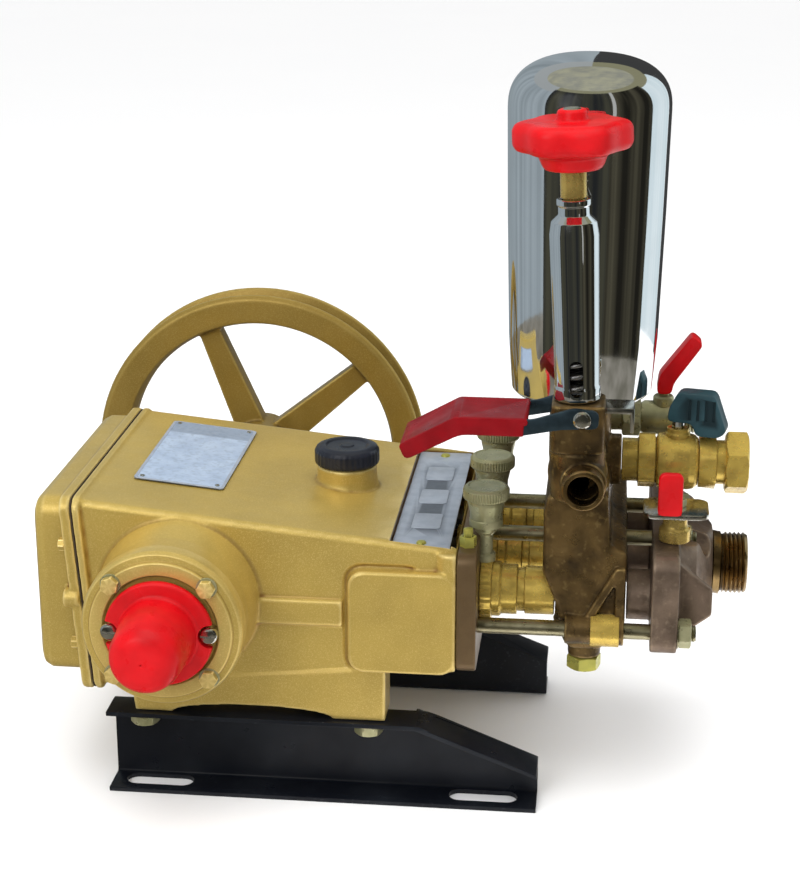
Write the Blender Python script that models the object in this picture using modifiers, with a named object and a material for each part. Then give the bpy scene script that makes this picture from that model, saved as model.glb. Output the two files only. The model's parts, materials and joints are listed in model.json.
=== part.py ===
"""Triplex plunger pump for a pressure washer, built as an assembly of named pieces at rest.

Dimensions are millimetres in the pump frame: X along the plungers, Y along the crankshaft with the
pulley at +Y, Z up from the ground, and X = 0, Y = 0 on the middle of the crank axis. The datum
empty moves that frame so the pump stands centred on the world origin.
"""

import math

import bmesh
import bpy
from mathutils import Vector

MM = 0.001
GAP = 0.3  # clearance between neighbouring pieces

DATUM_X = -94.25  # puts the middle of the pump over the world origin
DATUM_Y = -6.5

AXIS_Z = 111.5  # height of the crank and plunger axes
PITCH = 50.0  # spacing of the three plungers
THROW = 10.0  # crank radius, half the stroke
CRANK_ANGLES = (90.0, -30.0, 210.0)  # crank pin angles at rest, from +X towards +Z
PLUNGER_YS = (-PITCH, 0.0, PITCH)

CASE_REAR = -50.0
REAR_LEAN = 0.076  # the rear joint stands this much further back for each millimetre of height
CASE_FRONT = 152.0
CASE_HALF = 80.0
CASE_TOP = (162.0, 141.5)  # heights of the top at the rear and at the front
CASE_BOTTOM = (60.0, 80.5)
WALL = 6.0
GUIDE_BORE = 20.3
GUIDE_FROM = 40.0
GUIDE_TO = 104.0
DRIP_FROM = 110.5
DRIP_TO = 141.0
NEAR_BOSS = (112.0, 39.0)  # distance of the end face from the middle plane, and radius
FAR_BOSS = (100.0, 34.0)
BEARING_R = 25.7
JOURNAL_R = 12.5
ROD_LENGTH = 58.0
PLUNGER_R = 8.0

FRAME_FROM = -41.0
FRAME_TO = 184.0
FRAME_HEIGHT = 46.0
FRAME_WEB = 60.0  # distance of the web's inner face from the middle plane
FRAME_EDGE = 82.0
SHEET = 2.5

PULLEY_Y = 164.0
PULLEY_R = 101.5
PULLEY_HALF = 13.0

HEAD_X = 200.0  # the manifold, the air chamber and the regulator stand on this line
GALLERY_Z = 178.0
STUD_Y = 67.0  # the two lower tie studs
STUD_Z = 98.0
OUTLET_Z = 167.5
REGULATOR_Y = -72.0
REGULATOR_LEAN = 2.6  # degrees, towards the crankcase
COIL_R = 7.9
COIL_FROM = 224.0
COIL_LENGTH = 64.0
PIVOT = (202.0, REGULATOR_Y, 216.0)  # the release lever's axis

GOLD = (0.45, 0.28, 0.06)
BRASS = (0.55, 0.33, 0.06)
BRONZE = (0.14, 0.08, 0.035)
MAUVE = (0.21, 0.13, 0.09)
STEEL = (0.55, 0.56, 0.58)
CHROME = (0.75, 0.76, 0.78)
OLIVE = (0.30, 0.28, 0.15)
BLACK = (0.012, 0.014, 0.018)
RED = (0.72, 0.01, 0.015)
DARK_RED = (0.40, 0.005, 0.012)
TEAL = (0.03, 0.08, 0.13)
RUBBER = (0.02, 0.02, 0.02)

TURN_TO = {"X": (0.0, math.pi / 2, 0.0), "Y": (-math.pi / 2, 0.0, 0.0), "Z": (0.0, 0.0, 0.0)}
INDEX = {"X": 0, "Y": 1, "Z": 2}


def clear_scene():
    for obj in list(bpy.data.objects):
        bpy.data.objects.remove(obj, do_unlink=True)


def make_collection(name, hidden):
    made = bpy.data.collections.new(name)
    made.hide_render = hidden
    bpy.context.scene.collection.children.link(made)
    return made


def make_datum():
    datum = bpy.data.objects.new("pump_datum", None)
    datum.location = (DATUM_X * MM, DATUM_Y * MM, 0.0)
    PARTS.objects.link(datum)
    return datum


def paint(obj, colour, rough, metal):
    mat = bpy.data.materials.new("mat_" + obj.name)
    mat.use_nodes = True
    shader = mat.node_tree.nodes["Principled BSDF"]
    shader.inputs["Base Color"].default_value = (*colour, 1.0)
    shader.inputs["Roughness"].default_value = rough
    shader.inputs["Metallic"].default_value = metal
    obj.data.materials.append(mat)


def place(name, bm, at, turn=(0.0, 0.0, 0.0)):
    """An object from a bmesh whose points are in metres about its origin."""
    mesh = bpy.data.meshes.new(name)
    bm.to_mesh(mesh)
    bm.free()
    obj = bpy.data.objects.new(name, mesh)
    obj.location = Vector(at) * MM
    obj.rotation_euler = turn
    obj.parent = DATUM
    PARTS.objects.link(obj)
    return obj


def area_of(points):
    total = 0.0
    for (a, b), (c, d) in zip(points, points[1:] + points[:1]):
        total += a * d - c * b
    return total


def turned(name, axis, at, profile, steps=20):
    """A lathe piece. The profile lists (station along the axis, radius) in the pump frame."""
    base = at[INDEX[axis]]
    points = [(radius, station - base) for station, radius in profile]
    if area_of(points) > 0:
        points.reverse()
    bm = bmesh.new()
    verts = [bm.verts.new((r * MM, 0.0, s * MM)) for r, s in points]
    for a, b in zip(verts, verts[1:]):
        bm.edges.new((a, b))
    if points[0][0] > 0:
        bm.edges.new((verts[-1], verts[0]))
    obj = place(name, bm, at, TURN_TO[axis])
    screw = obj.modifiers.new("Screw", "SCREW")
    screw.axis = "Z"
    screw.steps = steps
    screw.render_steps = steps
    screw.use_merge_vertices = True
    screw.merge_threshold = 0.00002
    screw.use_smooth_shade = True
    return obj


def rod(name, axis, centre, radius, start, end, steps=16):
    """A plain cylinder from start to end along an axis through centre."""
    profile = [(start, 0.0), (start, radius), (end, radius), (end, 0.0)]
    return turned(name, axis, centre, profile, steps)


def tube(name, axis, centre, outer, inner, start, end, steps=16):
    profile = [(start, inner), (start, outer), (end, outer), (end, inner)]
    return turned(name, axis, centre, profile, steps)


def prism(name, axis, at, outline, start, end):
    """An outline pushed along an axis. The outline's pairs are the two other coordinates, in order."""
    bm = bmesh.new()
    low = []
    for a, b in outline:
        point = [a, b]
        point.insert(INDEX[axis], start)
        low.append(bm.verts.new((Vector(point) - Vector(at)) * MM))
    face = bm.faces.new(low)
    pushed = bmesh.ops.extrude_face_region(bm, geom=[face])
    step = [0.0, 0.0, 0.0]
    step[INDEX[axis]] = (end - start) * MM
    moved = [item for item in pushed["geom"] if isinstance(item, bmesh.types.BMVert)]
    bmesh.ops.translate(bm, vec=step, verts=moved)
    bmesh.ops.recalc_face_normals(bm, faces=bm.faces)
    return place(name, bm, at)


def block(name, low, high, at=(0.0, 0.0, 0.0)):
    outline = [(low[0], low[1]), (high[0], low[1]), (high[0], high[1]), (low[0], high[1])]
    return prism(name, "Z", at, outline, low[2], high[2])


def hexagon(name, axis, centre, radius, start, end, turn=0.0, at=None):
    """A hexagonal prism about a line through centre, radius to the corners."""
    mid = [value for i, value in enumerate(centre) if i != INDEX[axis]]
    outline = []
    for k in range(6):
        angle = math.radians(60 * k + turn)
        outline.append((mid[0] + radius * math.cos(angle), mid[1] + radius * math.sin(angle)))
    return prism(name, axis, at or (0.0, 0.0, 0.0), outline, start, end)


def rounded(left, right, low, high, radius, steps=4):
    """The outline of a rectangle with rounded corners, counter-clockwise."""
    corners = (
        (right - radius, low + radius, -90),
        (right - radius, high - radius, 0),
        (left + radius, high - radius, 90),
        (left + radius, low + radius, 180),
    )
    outline = []
    for a, b, first in corners:
        for k in range(steps + 1):
            angle = math.radians(first + 90 * k / steps)
            outline.append((a + radius * math.cos(angle), b + radius * math.sin(angle)))
    return outline


def ring_points(centre, radius, x, count=24):
    points = []
    for k in range(count):
        angle = 2 * math.pi * k / count
        across, up = radius * math.cos(angle), radius * math.sin(angle)
        points.append((x, centre[0] + across, centre[1] + up))
    return points


def hull(name, points):
    bm = bmesh.new()
    for point in points:
        bm.verts.new(Vector(point) * MM)
    made = bmesh.ops.convex_hull(bm, input=bm.verts)
    loose = [item for item in made["geom_interior"] if isinstance(item, bmesh.types.BMVert)]
    bmesh.ops.delete(bm, geom=loose, context="VERTS")
    bmesh.ops.recalc_face_normals(bm, faces=bm.faces)
    return place(name, bm, (0.0, 0.0, 0.0))


def soften(obj, width, segments=2, angle=40.0):
    bevel = obj.modifiers.new("Bevel", "BEVEL")
    bevel.width = width * MM
    bevel.segments = segments
    bevel.limit_method = "ANGLE"
    bevel.angle_limit = math.radians(angle)
    return obj


def shape(obj, operation, tools):
    """Joins or cuts the tools, which then leave the render. The weld closes hairline gaps."""
    for tool in tools:
        boolean = obj.modifiers.new(tool.name, "BOOLEAN")
        boolean.operation = operation
        boolean.solver = "EXACT"
        boolean.object = tool
        weld = obj.modifiers.new("Weld", "WELD")
        weld.merge_threshold = 0.001 * MM
        tool.display_type = "WIRE"
        tool.hide_render = True
        PARTS.objects.unlink(tool)
        CUTTERS.objects.link(tool)
    return obj


def add(obj, *tools):
    return shape(obj, "UNION", tools)


def cut(obj, *tools):
    return shape(obj, "DIFFERENCE", tools)


def case_top(x):
    share = (x - CASE_REAR) / (CASE_FRONT - CASE_REAR)
    return CASE_TOP[0] + share * (CASE_TOP[1] - CASE_TOP[0])


def case_bottom(x):
    share = (x - CASE_REAR) / (CASE_FRONT - CASE_REAR)
    return CASE_BOTTOM[0] + share * (CASE_BOTTOM[1] - CASE_BOTTOM[0])


def case_side(start, end, inset):
    return [
        (start, case_bottom(start) + inset),
        (end, case_bottom(end) + inset),
        (end, case_top(end) - inset),
        (start, case_top(start) - inset),
    ]


def rear_shift(z):
    """How far the rear joint stands in front of its place at the height of the axis."""
    return REAR_LEAN * (AXIS_Z - z)


def leaned(obj):
    for vert in obj.data.vertices:
        vert.co.x += rear_shift(vert.co.z / MM) * MM
    return obj


def foot_outline():
    arch = []
    for k in range(9):
        angle = math.pi * k / 8
        arch.append((36.0 - 42.0 * math.cos(angle), 46.3 + 5.5 * math.sin(angle)))
    return [(-28.0, 70.0), (-26.0, 46.3)] + arch + [(105.5, 46.3), (105.5, 84.0)]


def case_bosses(side, word):
    """The bearing boss, foot, raised block and rib of one side wall."""
    out, radius = NEAR_BOSS if side < 0 else FAR_BOSS
    profile = [(70, 0), (70, radius + 5), (88, radius + 2), (96, radius), (out, radius), (out, 0)]
    profile = [(side * station, size) for station, size in profile]
    boss = turned("boss_" + word, "Y", (0, 0, AXIS_Z), profile, 24)
    foot = prism("foot_" + word, "Y", (0, 0, 0), foot_outline(), side * 56, side * 79.9)
    raised_outline = rounded(87, 150, 76, 131, 9)
    raised = prism("raised_" + word, "Y", (0, 0, 0), raised_outline, side * 74, side * 84.6)
    rib = block("rib_" + word, (30, side * 70, 100), (90, side * 82.5, 114))
    return boss, foot, raised, rib


def case_cuts():
    cuts = [prism("crank_space", "Y", (0, 0, 0), case_side(-60, GUIDE_FROM, WALL), -74, 74)]
    for number, y in enumerate(PLUNGER_YS, 1):
        mid = (0, y, AXIS_Z)
        tag = "_%d" % number
        cuts.append(rod("guide_bore" + tag, "X", mid, GUIDE_BORE, GUIDE_FROM - 2, GUIDE_TO))
        cuts.append(rod("rod_hole" + tag, "X", mid, PLUNGER_R + 0.4, GUIDE_TO - 2, DRIP_FROM + 2, 14))
        cuts.append(rod("spigot_hole" + tag, "X", mid, 15.3, DRIP_TO - 3, CASE_FRONT + 4))
    cuts.append(block("drip_space", (DRIP_FROM, -74, 87), (DRIP_TO, 74, 170)))
    cuts.append(block("cover_seat", (107.8, -77, 140.7), (138.2, 77, 170)))
    cuts.append(block("drip_drain", (118, -20, 60), (134, 20, 100)))
    cuts.append(block("front_step", (150, -74, 60), (160, 74, 160)))
    cuts.append(rod("filler_hole", "Z", (76, 0, 0), 11.3, 134, 180, 14))
    cuts.append(block("filler_channel", (35, -11, 134), (86, 11, 140.5)))
    for side in (-1, 1):
        tag = "_near" if side < 0 else "_far"
        seat = NEAR_BOSS[0] - 20 if side < 0 else FAR_BOSS[0] - 17
        cuts.append(rod("seat" + tag, "Y", (0, 0, AXIS_Z), BEARING_R + GAP, side * seat, side * 130, 22))
        cuts.append(rod("throat" + tag, "Y", (0, 0, AXIS_Z), 24.0, side * 60, side * 94, 22))
        cuts.append(rod("low_stud_hole" + tag, "X", (0, side * STUD_Y, STUD_Z), 4.7, 138, 160, 12))
        cuts.append(rod("top_stud_hole" + tag, "X", (0, side * 25, 133), 4.7, 138, 160, 12))
    return cuts


def make_crankcase():
    low, front_low, front_top, top = case_side(CASE_REAR, CASE_FRONT, 0)
    outline = [(-48 + rear_shift(low[1]), low[1]), front_low, front_top, (-48 + rear_shift(top[1]), top[1])]
    case = prism("crankcase", "Y", (0, 0, 0), outline, -CASE_HALF, CASE_HALF)
    soften(case, 2.0, 1)
    outline = rounded(-83, 83, 57.5, 163, 7)
    flange = leaned(prism("rear_flange", "X", (0, 0, 0), outline, CASE_REAR, -46.2))
    front = prism("front_flange", "Z", (0, 0, 0), rounded(130, CASE_FRONT, -84, 84, 9, 3), 77.5, 141.4)
    profile = [(130, 0), (130, 19), (149, 17.5), (153, 16), (160, 16), (160, 0)]
    filler = turned("filler_boss", "Z", (76, 0, 0), profile, 16)
    add(case, flange, front, filler, *case_bosses(-1, "near"), *case_bosses(1, "far"))
    cut(case, *case_cuts())
    paint(case, GOLD, 0.42, 0.75)


def make_rear_cover():
    """A deep lid. Its rear edges are rounded and its flange leans with the joint."""
    plate = leaned(prism("rear_cover", "X", (0, 0, 0), rounded(-83, 83, 57.5, 163, 7), -56.5, -51.1))
    points = []
    for x, inset in ((-76, 5.5), (-74.4, 1.9), (-70.5, 0)):
        outline = rounded(inset - 77, 77 - inset, 65 + inset, 160.5 - inset, 9, 3)
        points += [(x, y, z) for y, z in outline]
    points += [(-54 + rear_shift(z), y, z) for y, z in rounded(-77, 77, 65, 160.5, 9, 3)]
    lid = hull("cover_lid", points)
    hollow = prism("cover_hollow", "X", (0, 0, 0), rounded(-71, 71, 71, 153, 8, 2), -72, -40)
    lugs = []
    for number, (y, z) in enumerate(((-80, 109), (80, 109)), 1):
        shift = rear_shift(z)
        lugs.append(rod("cover_lug_%d" % number, "X", (0, y, z), 5.0, shift - 60, shift - 52, 12))
    add(plate, lid, *lugs)
    cut(plate, hollow)
    paint(plate, GOLD, 0.42, 0.75)


def make_gasket():
    outline = rounded(-82.5, 82.5, 58, 162.5, 7)
    gasket = leaned(prism("rear_cover_gasket", "X", (0, 0, 0), outline, -50.8, -50.3))
    cut(gasket, prism("gasket_hole", "X", (0, 0, 0), rounded(-70, 70, 70, 152, 8), -52, -49))
    paint(gasket, (0.08, 0.05, 0.03), 0.8, 0.0)


def make_oil_cap():
    profile = [(148, 0), (148, 10.9), (160.3, 10.9), (160.3, 17.4), (169, 17.4), (170.6, 15.6)]
    profile += [(170.6, 11), (169.8, 10), (169.8, 0)]
    cap = turned("oil_filler_cap", "Z", (76, 0, 160), profile, 20)
    paint(cap, BLACK, 0.35, 0.0)


def make_nameplate():
    tilt = math.atan2(CASE_TOP[0] - CASE_TOP[1], CASE_FRONT - CASE_REAR)
    plate = prism("nameplate", "Z", (0, 0, 0), rounded(-24, 24, -50, 50, 2, 2), 0.3, 0.9)
    plate.location = Vector((-8, 11, case_top(-8))) * MM
    plate.rotation_euler = (0.0, tilt, 0.0)
    paint(plate, (0.55, 0.60, 0.66), 0.35, 0.6)


def make_splash_cover():
    plate = block("splash_cover", (108.2, -76.6, 141.0), (137.8, 76.6, 142.6))
    paint(plate, (0.25, 0.30, 0.36), 0.25, 0.0)


def make_bearing_covers():
    mid = (0, 0, AXIS_Z)
    profile = [(-112.3, 14), (-124, 14), (-124, 38.6), (-122, 40.6), (-112.3, 40.6), (-112.3, 25.4)]
    near = turned("bearing_cover_near", "Y", mid, profile + [(-108.5, 25.4), (-108.5, 14)], 26)
    screws = []
    for k in range(4):
        angle = math.radians(45 + 90 * k)
        y_line = (33.5 * math.cos(angle), 0, AXIS_Z + 33.5 * math.sin(angle))
        screws.append(hexagon("cover_screw_%d" % k, "Y", y_line, 4.4, -127.5, -122, 15 * k))
    for side in (-1, 1):
        line = (side * 24.5, 0, AXIS_Z)
        screws.append(rod("guard_screw_%d" % side, "Y", line, 3.6, -129, -122, 12))
    add(near, *screws)
    paint(near, GOLD, 0.4, 0.75)
    profile = [(100.3, 25.4), (100.3, 33), (107, 33), (109, 31), (109, 17.3), (101, 17.3)]
    far = turned("bearing_cover_far", "Y", mid, profile + [(101, 14), (99.2, 14), (99.2, 25.4)], 22)
    paint(far, GOLD, 0.4, 0.75)
    seal = tube("shaft_seal", "Y", mid, 17.0, 12.8, 102, 108.6, 16)
    paint(seal, RUBBER, 0.6, 0.0)


def make_bearing(name, start):
    end = start + 15
    profile = [(start, 12.8), (start, 16), (start + 1, 16), (start + 1, 22), (start, 22)]
    profile += [(start, BEARING_R), (end, BEARING_R), (end, 22), (end - 1, 22), (end - 1, 16)]
    bearing = turned(name, "Y", (0, 0, AXIS_Z), profile + [(end, 12.8)], 18)
    paint(bearing, STEEL, 0.25, 1.0)


def make_guard():
    profile = [(-124.3, 27.3), (-128, 27.3), (-128.6, 26.4), (-128.6, 20), (-130.5, 18.8), (-155, 17.7)]
    profile += [(-160, 16.4), (-163.6, 13.2), (-165, 9), (-165, 0), (-161.5, 0), (-161.5, 10)]
    profile += [(-157, 13.8), (-153, 14.5), (-124.3, 14.5)]
    guard = turned("shaft_guard", "Y", (0, 0, AXIS_Z), profile, 24)
    notches = []
    for side in (-1, 1):
        line = (side * 25.5, 0, AXIS_Z)
        notches.append(rod("guard_notch_%d" % side, "Y", line, 5.6, -132, -120, 12))
    cut(guard, *notches)
    paint(guard, RED, 0.35, 0.0)


def pin_offset(number):
    angle = math.radians(CRANK_ANGLES[number])
    return THROW * math.cos(angle), THROW * math.sin(angle)


def make_crankshaft():
    mid = (0, 0, AXIS_Z)
    profile = [(-146, 0), (-146, 9.3), (-145, 10), (-112, 10), (-112, JOURNAL_R)]
    profile += [(-62, JOURNAL_R), (-62, 0)]
    shaft = turned("crankshaft", "Y", mid, profile, 20)
    pieces = [rod("nose", "Y", mid, JOURNAL_R, 62, 122), rod("tail", "Y", mid, 11.0, 120, 178)]
    pieces += [rod("mid_a", "Y", mid, JOURNAL_R, -37, -13), rod("mid_b", "Y", mid, JOURNAL_R, 13, 37)]
    for number, y in enumerate(PLUNGER_YS):
        right, up = pin_offset(number)
        line = (right, 0, AXIS_Z + up)
        pieces.append(rod("crank_pin_%d" % number, "Y", line, 11.0, y - 11, y + 11))
        for side in (-1, 1):
            near, far = sorted((y + side * 9.5, y + side * 15.5))
            pieces.append(rod("web_%d_%d" % (number, side), "Y", mid, 23.0, near, far, 20))
    add(shaft, *pieces)
    add(shaft, block("key", (-3, 152, AXIS_Z + 8), (3, 176, AXIS_Z + 13)))
    paint(shaft, STEEL, 0.3, 1.0)


def make_pulley():
    mid = (0, PULLEY_Y, AXIS_Z)
    near = PULLEY_Y - PULLEY_HALF
    far = PULLEY_Y + PULLEY_HALF
    profile = [(near, 84.5), (near, PULLEY_R - 1), (near + 1, PULLEY_R), (near + 4, PULLEY_R)]
    profile += [(near + 8.5, 88.5), (far - 8.5, 88.5), (far - 4, PULLEY_R), (far - 1, PULLEY_R)]
    profile += [(far, PULLEY_R - 1), (far, 84.5), (PULLEY_Y + 5, 82.5), (PULLEY_Y - 5, 82.5)]
    pulley = turned("pulley", "Y", mid, profile, 40)
    pieces = [rod("hub", "Y", mid, 20.5, PULLEY_Y - 14, far + 1, 20)]
    for k in range(5):
        angle = 40.0 + 72 * k
        outline = [(14, -9.5), (84, -6.5), (84, 6.5), (14, 9.5)]
        spoke = prism("spoke_%d" % k, "Y", mid, [(a, AXIS_Z + b) for a, b in outline], 159.5, 170)
        soften(spoke, 2.5, 1)
        spoke.rotation_euler = (0.0, -math.radians(angle), 0.0)
        pieces.append(spoke)
    add(pulley, *pieces)
    bore = rod("pulley_bore", "Y", mid, 11.3, near - 5, far + 5)
    cut(pulley, bore, block("pulley_keyway", (-3.4, 140, AXIS_Z), (3.4, 190, AXIS_Z + 13.5)))
    paint(pulley, (0.36, 0.22, 0.05), 0.4, 0.8)


def make_con_rod(number):
    right, up = pin_offset(number)
    y = PLUNGER_YS[number]
    at = (right, y, AXIS_Z + up)
    tag = "_%d" % (number + 1)
    eye = (right + ROD_LENGTH, y, AXIS_Z + up)
    body = rod("con_rod" + tag, "Y", at, 18.0, y - 9, y + 9, 20)
    low = (right + 10, y - 4.0, AXIS_Z + up - 5)
    high = (eye[0] - 2, y + 4.0, AXIS_Z + up + 5)
    add(body, block("shank" + tag, low, high), rod("eye" + tag, "Y", eye, 6.5, y - 4.5, y + 4.5, 12))
    add(body, rod("wrist_pin" + tag, "Y", eye, 3.5, y - 7.5, y + 7.5, 12))
    big = rod("big_bore" + tag, "Y", at, 11.3, y - 12, y + 12)
    low = (right - 0.4, y - 12, AXIS_Z + up - 22)
    line = block("cap_line" + tag, low, (right + 0.4, y + 12, AXIS_Z + up - 16.5))
    cut(body, big, line)
    paint(body, (0.5, 0.5, 0.5), 0.45, 0.9)


def make_crosshead(number):
    shift = pin_offset(number)[0]
    tag = "_%d" % (number + 1)
    at = (shift + 70, PLUNGER_YS[number], AXIS_Z)
    profile = [(46, 17.7), (46, 20), (92, 20), (92, 5), (172, 5), (172, 0), (88, 0), (88, 17.7)]
    profile = [(station + shift, radius) for station, radius in profile]
    crosshead = turned("crosshead" + tag, "X", at, profile[6:] + profile[:6], 16)
    paint(crosshead, STEEL, 0.35, 0.9)
    profile = [(92.3, 5.3), (92.3, PLUNGER_R), (176, PLUNGER_R), (177.5, 6.5), (177.5, 0)]
    profile += [(172.4, 0), (172.4, 5.3)]
    profile = [(station + shift, radius) for station, radius in profile]
    plunger = turned("plunger" + tag, "X", at, profile[5:] + profile[:5], 16)
    paint(plunger, CHROME, 0.15, 1.0)


def make_cylinder(number):
    y = PLUNGER_YS[number]
    tag = "_%d" % (number + 1)
    mid = (0, y, AXIS_Z)
    profile = [(136, 8.4), (136, 15), (150.3, 15), (150.3, 16.8), (158, 16.8), (159, 15.8), (159, 12.5)]
    profile += [(172, 12.5), (172, 10.8), (175, 10.8), (175, 12.5), (190, 12.5), (190, 8.4)]
    profile += [(176, 8.4), (176, 10.4), (160, 10.4), (160, 8.4)]
    body = turned("cylinder" + tag, "X", mid, profile, 16)
    cup_at = (154.2, y, 0)
    profile = [(125, 0), (125, 3.6), (142.6, 3.6), (144, 5.2), (158.5, 9.6), (160.5, 9.6)]
    profile += [(160.5, 8.3), (149, 8.3), (149, 0)]
    add(body, turned("cup" + tag, "Z", cup_at, profile, 14))
    paint(body, BRASS, 0.3, 1.0)
    packing = tube("packing" + tag, "X", mid, 10.1, 8.3, 160.6, 175.4, 14)
    paint(packing, RUBBER, 0.7, 0.0)
    profile = [(152, 0), (152, 8.0), (160.8, 8.0), (160.8, 11.2), (161.5, 11.8), (166.2, 11.8)]
    profile += [(167.5, 10.2), (167.5, 0)]
    cap = turned("grease_cup_cap" + tag, "Z", (154.2, y, 160), profile, 20)
    paint(cap, OLIVE, 0.35, 0.8)


def manifold_outline():
    return [
        (184, 127), (191, 110), (195, 90), (199, 86), (214, 86), (226.5, 98),
        (226.5, 139), (218, 142), (216, 169), (186, 169), (184, 160),
    ]


def make_manifold():
    body = prism("delivery_manifold", "Y", (0, 0, 0), manifold_outline(), -66, 66)
    soften(body, 2.0, 1)
    mid = (HEAD_X, 0, 0)
    profile = [(-55, 0), (-55, 15), (-50, 15), (-48, 14), (56, 14), (58, 12), (58, 0)]
    gallery = turned("gallery", "Y", (HEAD_X, 0, GALLERY_Z), profile, 16)
    neck = rod("chamber_neck", "Z", mid, 16.0, 170, 197, 16)
    branch = rod("outlet_branch", "X", (0, 0, OUTLET_Z), 13.0, 200, 222, 16)
    drain = rod("drain_boss", "Z", (206, -50, 0), 8.0, 78, 92, 12)
    lower = []
    for side in (-1, 1):
        lower.append(rod("stud_boss_%d" % side, "X", (0, side * STUD_Y, STUD_Z), 7.5, 196, 225.8, 12))
    add(body, gallery, neck, branch, drain, *lower)
    cuts = [rod("collar_pocket", "Y", (HEAD_X, 0, GALLERY_Z), 13.4, -70, -55.05)]
    cuts += [rod("gallery_bore", "Y", (HEAD_X, 0, GALLERY_Z), 9.0, -60, 50, 14)]
    cuts.append(rod("neck_bore", "Z", mid, 8.8, 178, 205, 14))
    cuts.append(rod("branch_bore", "X", (0, 0, OUTLET_Z), 8.0, 200, 230, 14))
    cuts.append(rod("drain_bore", "Z", (206, -50, 0), 5.3, 70, 108, 12))
    for number, y in enumerate(PLUNGER_YS, 1):
        axis = (0, y, AXIS_Z)
        cuts.append(rod("socket_%d" % number, "X", axis, 12.8, 180, 190.4, 16))
        cuts.append(rod("pump_bore_%d" % number, "X", axis, 9.6, 188, 230, 14))
        cuts.append(rod("rise_%d" % number, "Z", (205, y, 0), 6.0, 112, 172, 12))
    for side in (-1, 1):
        cuts.append(rod("low_run_%d" % side, "X", (0, side * STUD_Y, STUD_Z), 4.7, 180, 230, 12))
        cuts.append(rod("top_run_%d" % side, "X", (0, side * 25, 133), 4.7, 180, 230, 12))
    cut(body, *cuts)
    paint(body, BRONZE, 0.45, 0.9)


def make_suction_housing():
    plate = prism("suction_housing", "X", (0, 0, 0), rounded(-75, 75, 87.5, 140, 8, 3), 239, 252.6)
    wide = [(251.5, y, z) for y, z in rounded(-60, 60, 89, 138.6, 16, 3)]
    wide += [(262, y, z) for y, z in rounded(-50, 50, 91, 135, 16, 3)]
    dome = hull("dome", wide + ring_points((0, AXIS_Z), 20.0, 271.5, 16))
    inner = [(246.5, y, z) for y, z in rounded(-53, 53, 94, 121, 12, 3)]
    plenum = hull("plenum", inner + ring_points((0, AXIS_Z), 13.0, 268, 14))
    sleeves = [rod("sleeve_%d" % y, "X", (0, y, AXIS_Z), 13.0, 226.8, 241, 16) for y in PLUNGER_YS]
    add(plate, dome, *sleeves)
    cuts = [plenum, rod("port_bore", "X", (0, 0, AXIS_Z), 12.5, 262, 295, 20)]
    for y in PLUNGER_YS:
        cuts.append(rod("valve_bore_%d" % y, "X", (0, y, AXIS_Z), 9.0, 220, 249, 14))
    for side in (-1, 1):
        cuts.append(rod("low_hole_%d" % side, "X", (0, side * STUD_Y, STUD_Z), 4.7, 230, 262, 12))
        cuts.append(rod("top_hole_%d" % side, "X", (0, side * 25, 133), 4.7, 230, 262, 12))
        cuts.append(rod("nut_pocket_%d" % side, "X", (0, side * 25, 133), 8.4, 252.7, 275, 12))
    cut(plate, *cuts)
    paint(plate, MAUVE, 0.5, 0.7)
    profile = [(271.8, 12.5), (271.8, 17.5), (276, 17.5), (276, 16.2), (289, 16.2), (290, 15.2), (290, 12.5)]
    nipple = turned("suction_nipple", "X", (0, 0, AXIS_Z), profile, 22)
    paint(nipple, MAUVE, 0.4, 0.8)


def make_studs():
    lines = (("tie_stud_low_near", -STUD_Y, STUD_Z), ("tie_stud_low_far", STUD_Y, STUD_Z))
    lines += (("tie_stud_top_near", -25, 133), ("tie_stud_top_far", 25, 133))
    for name, y, z in lines:
        stud = rod(name, "X", (0, y, z), 4.3, 142, 262, 12)
        add(stud, hexagon("nut_" + name, "X", (0, y, z), 7.5, 253.0, 259.5))
        paint(stud, (0.35, 0.33, 0.18), 0.35, 0.9)


def make_drain_plug():
    plug = rod("drain_plug", "Z", (206, -50, 76), 5.0, 75, 89, 12)
    add(plug, hexagon("plug_head", "Z", (206, -50, 0), 9.0, 69.5, 77.5))
    paint(plug, BRASS, 0.3, 0.9)


def dome_points(radius, rise, base, first, last):
    """Points of a domed end from one angle to another, in steps of 15 degrees from the wall."""
    points = []
    step = 1 if last > first else -1
    for k in range(first, last + step, step):
        angle = math.radians(15 * k)
        height = rise * math.sin(angle) ** 0.8
        points.append((base + height, radius * math.cos(angle) ** 0.8))
    return points


def make_air_chamber():
    outside = [(379, 0)] + dome_points(41.0, 27.0, 352, 5, 0)
    outside += [(300, 40.1), (235, 38.4), (206, 36.3), (204, 33), (203, 20), (197.3, 20)]
    inside = [(197.3, 8.5), (188, 8.5), (188, 6.5), (206, 6.5), (207.5, 34), (235, 36.4), (300, 38.1)]
    inside += dome_points(39.0, 25.0, 352, 0, 5) + [(377, 0)]
    chamber = turned("air_chamber", "Z", (HEAD_X, 0, 0), outside + inside, 26)
    paint(chamber, CHROME, 0.08, 1.0)


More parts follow.
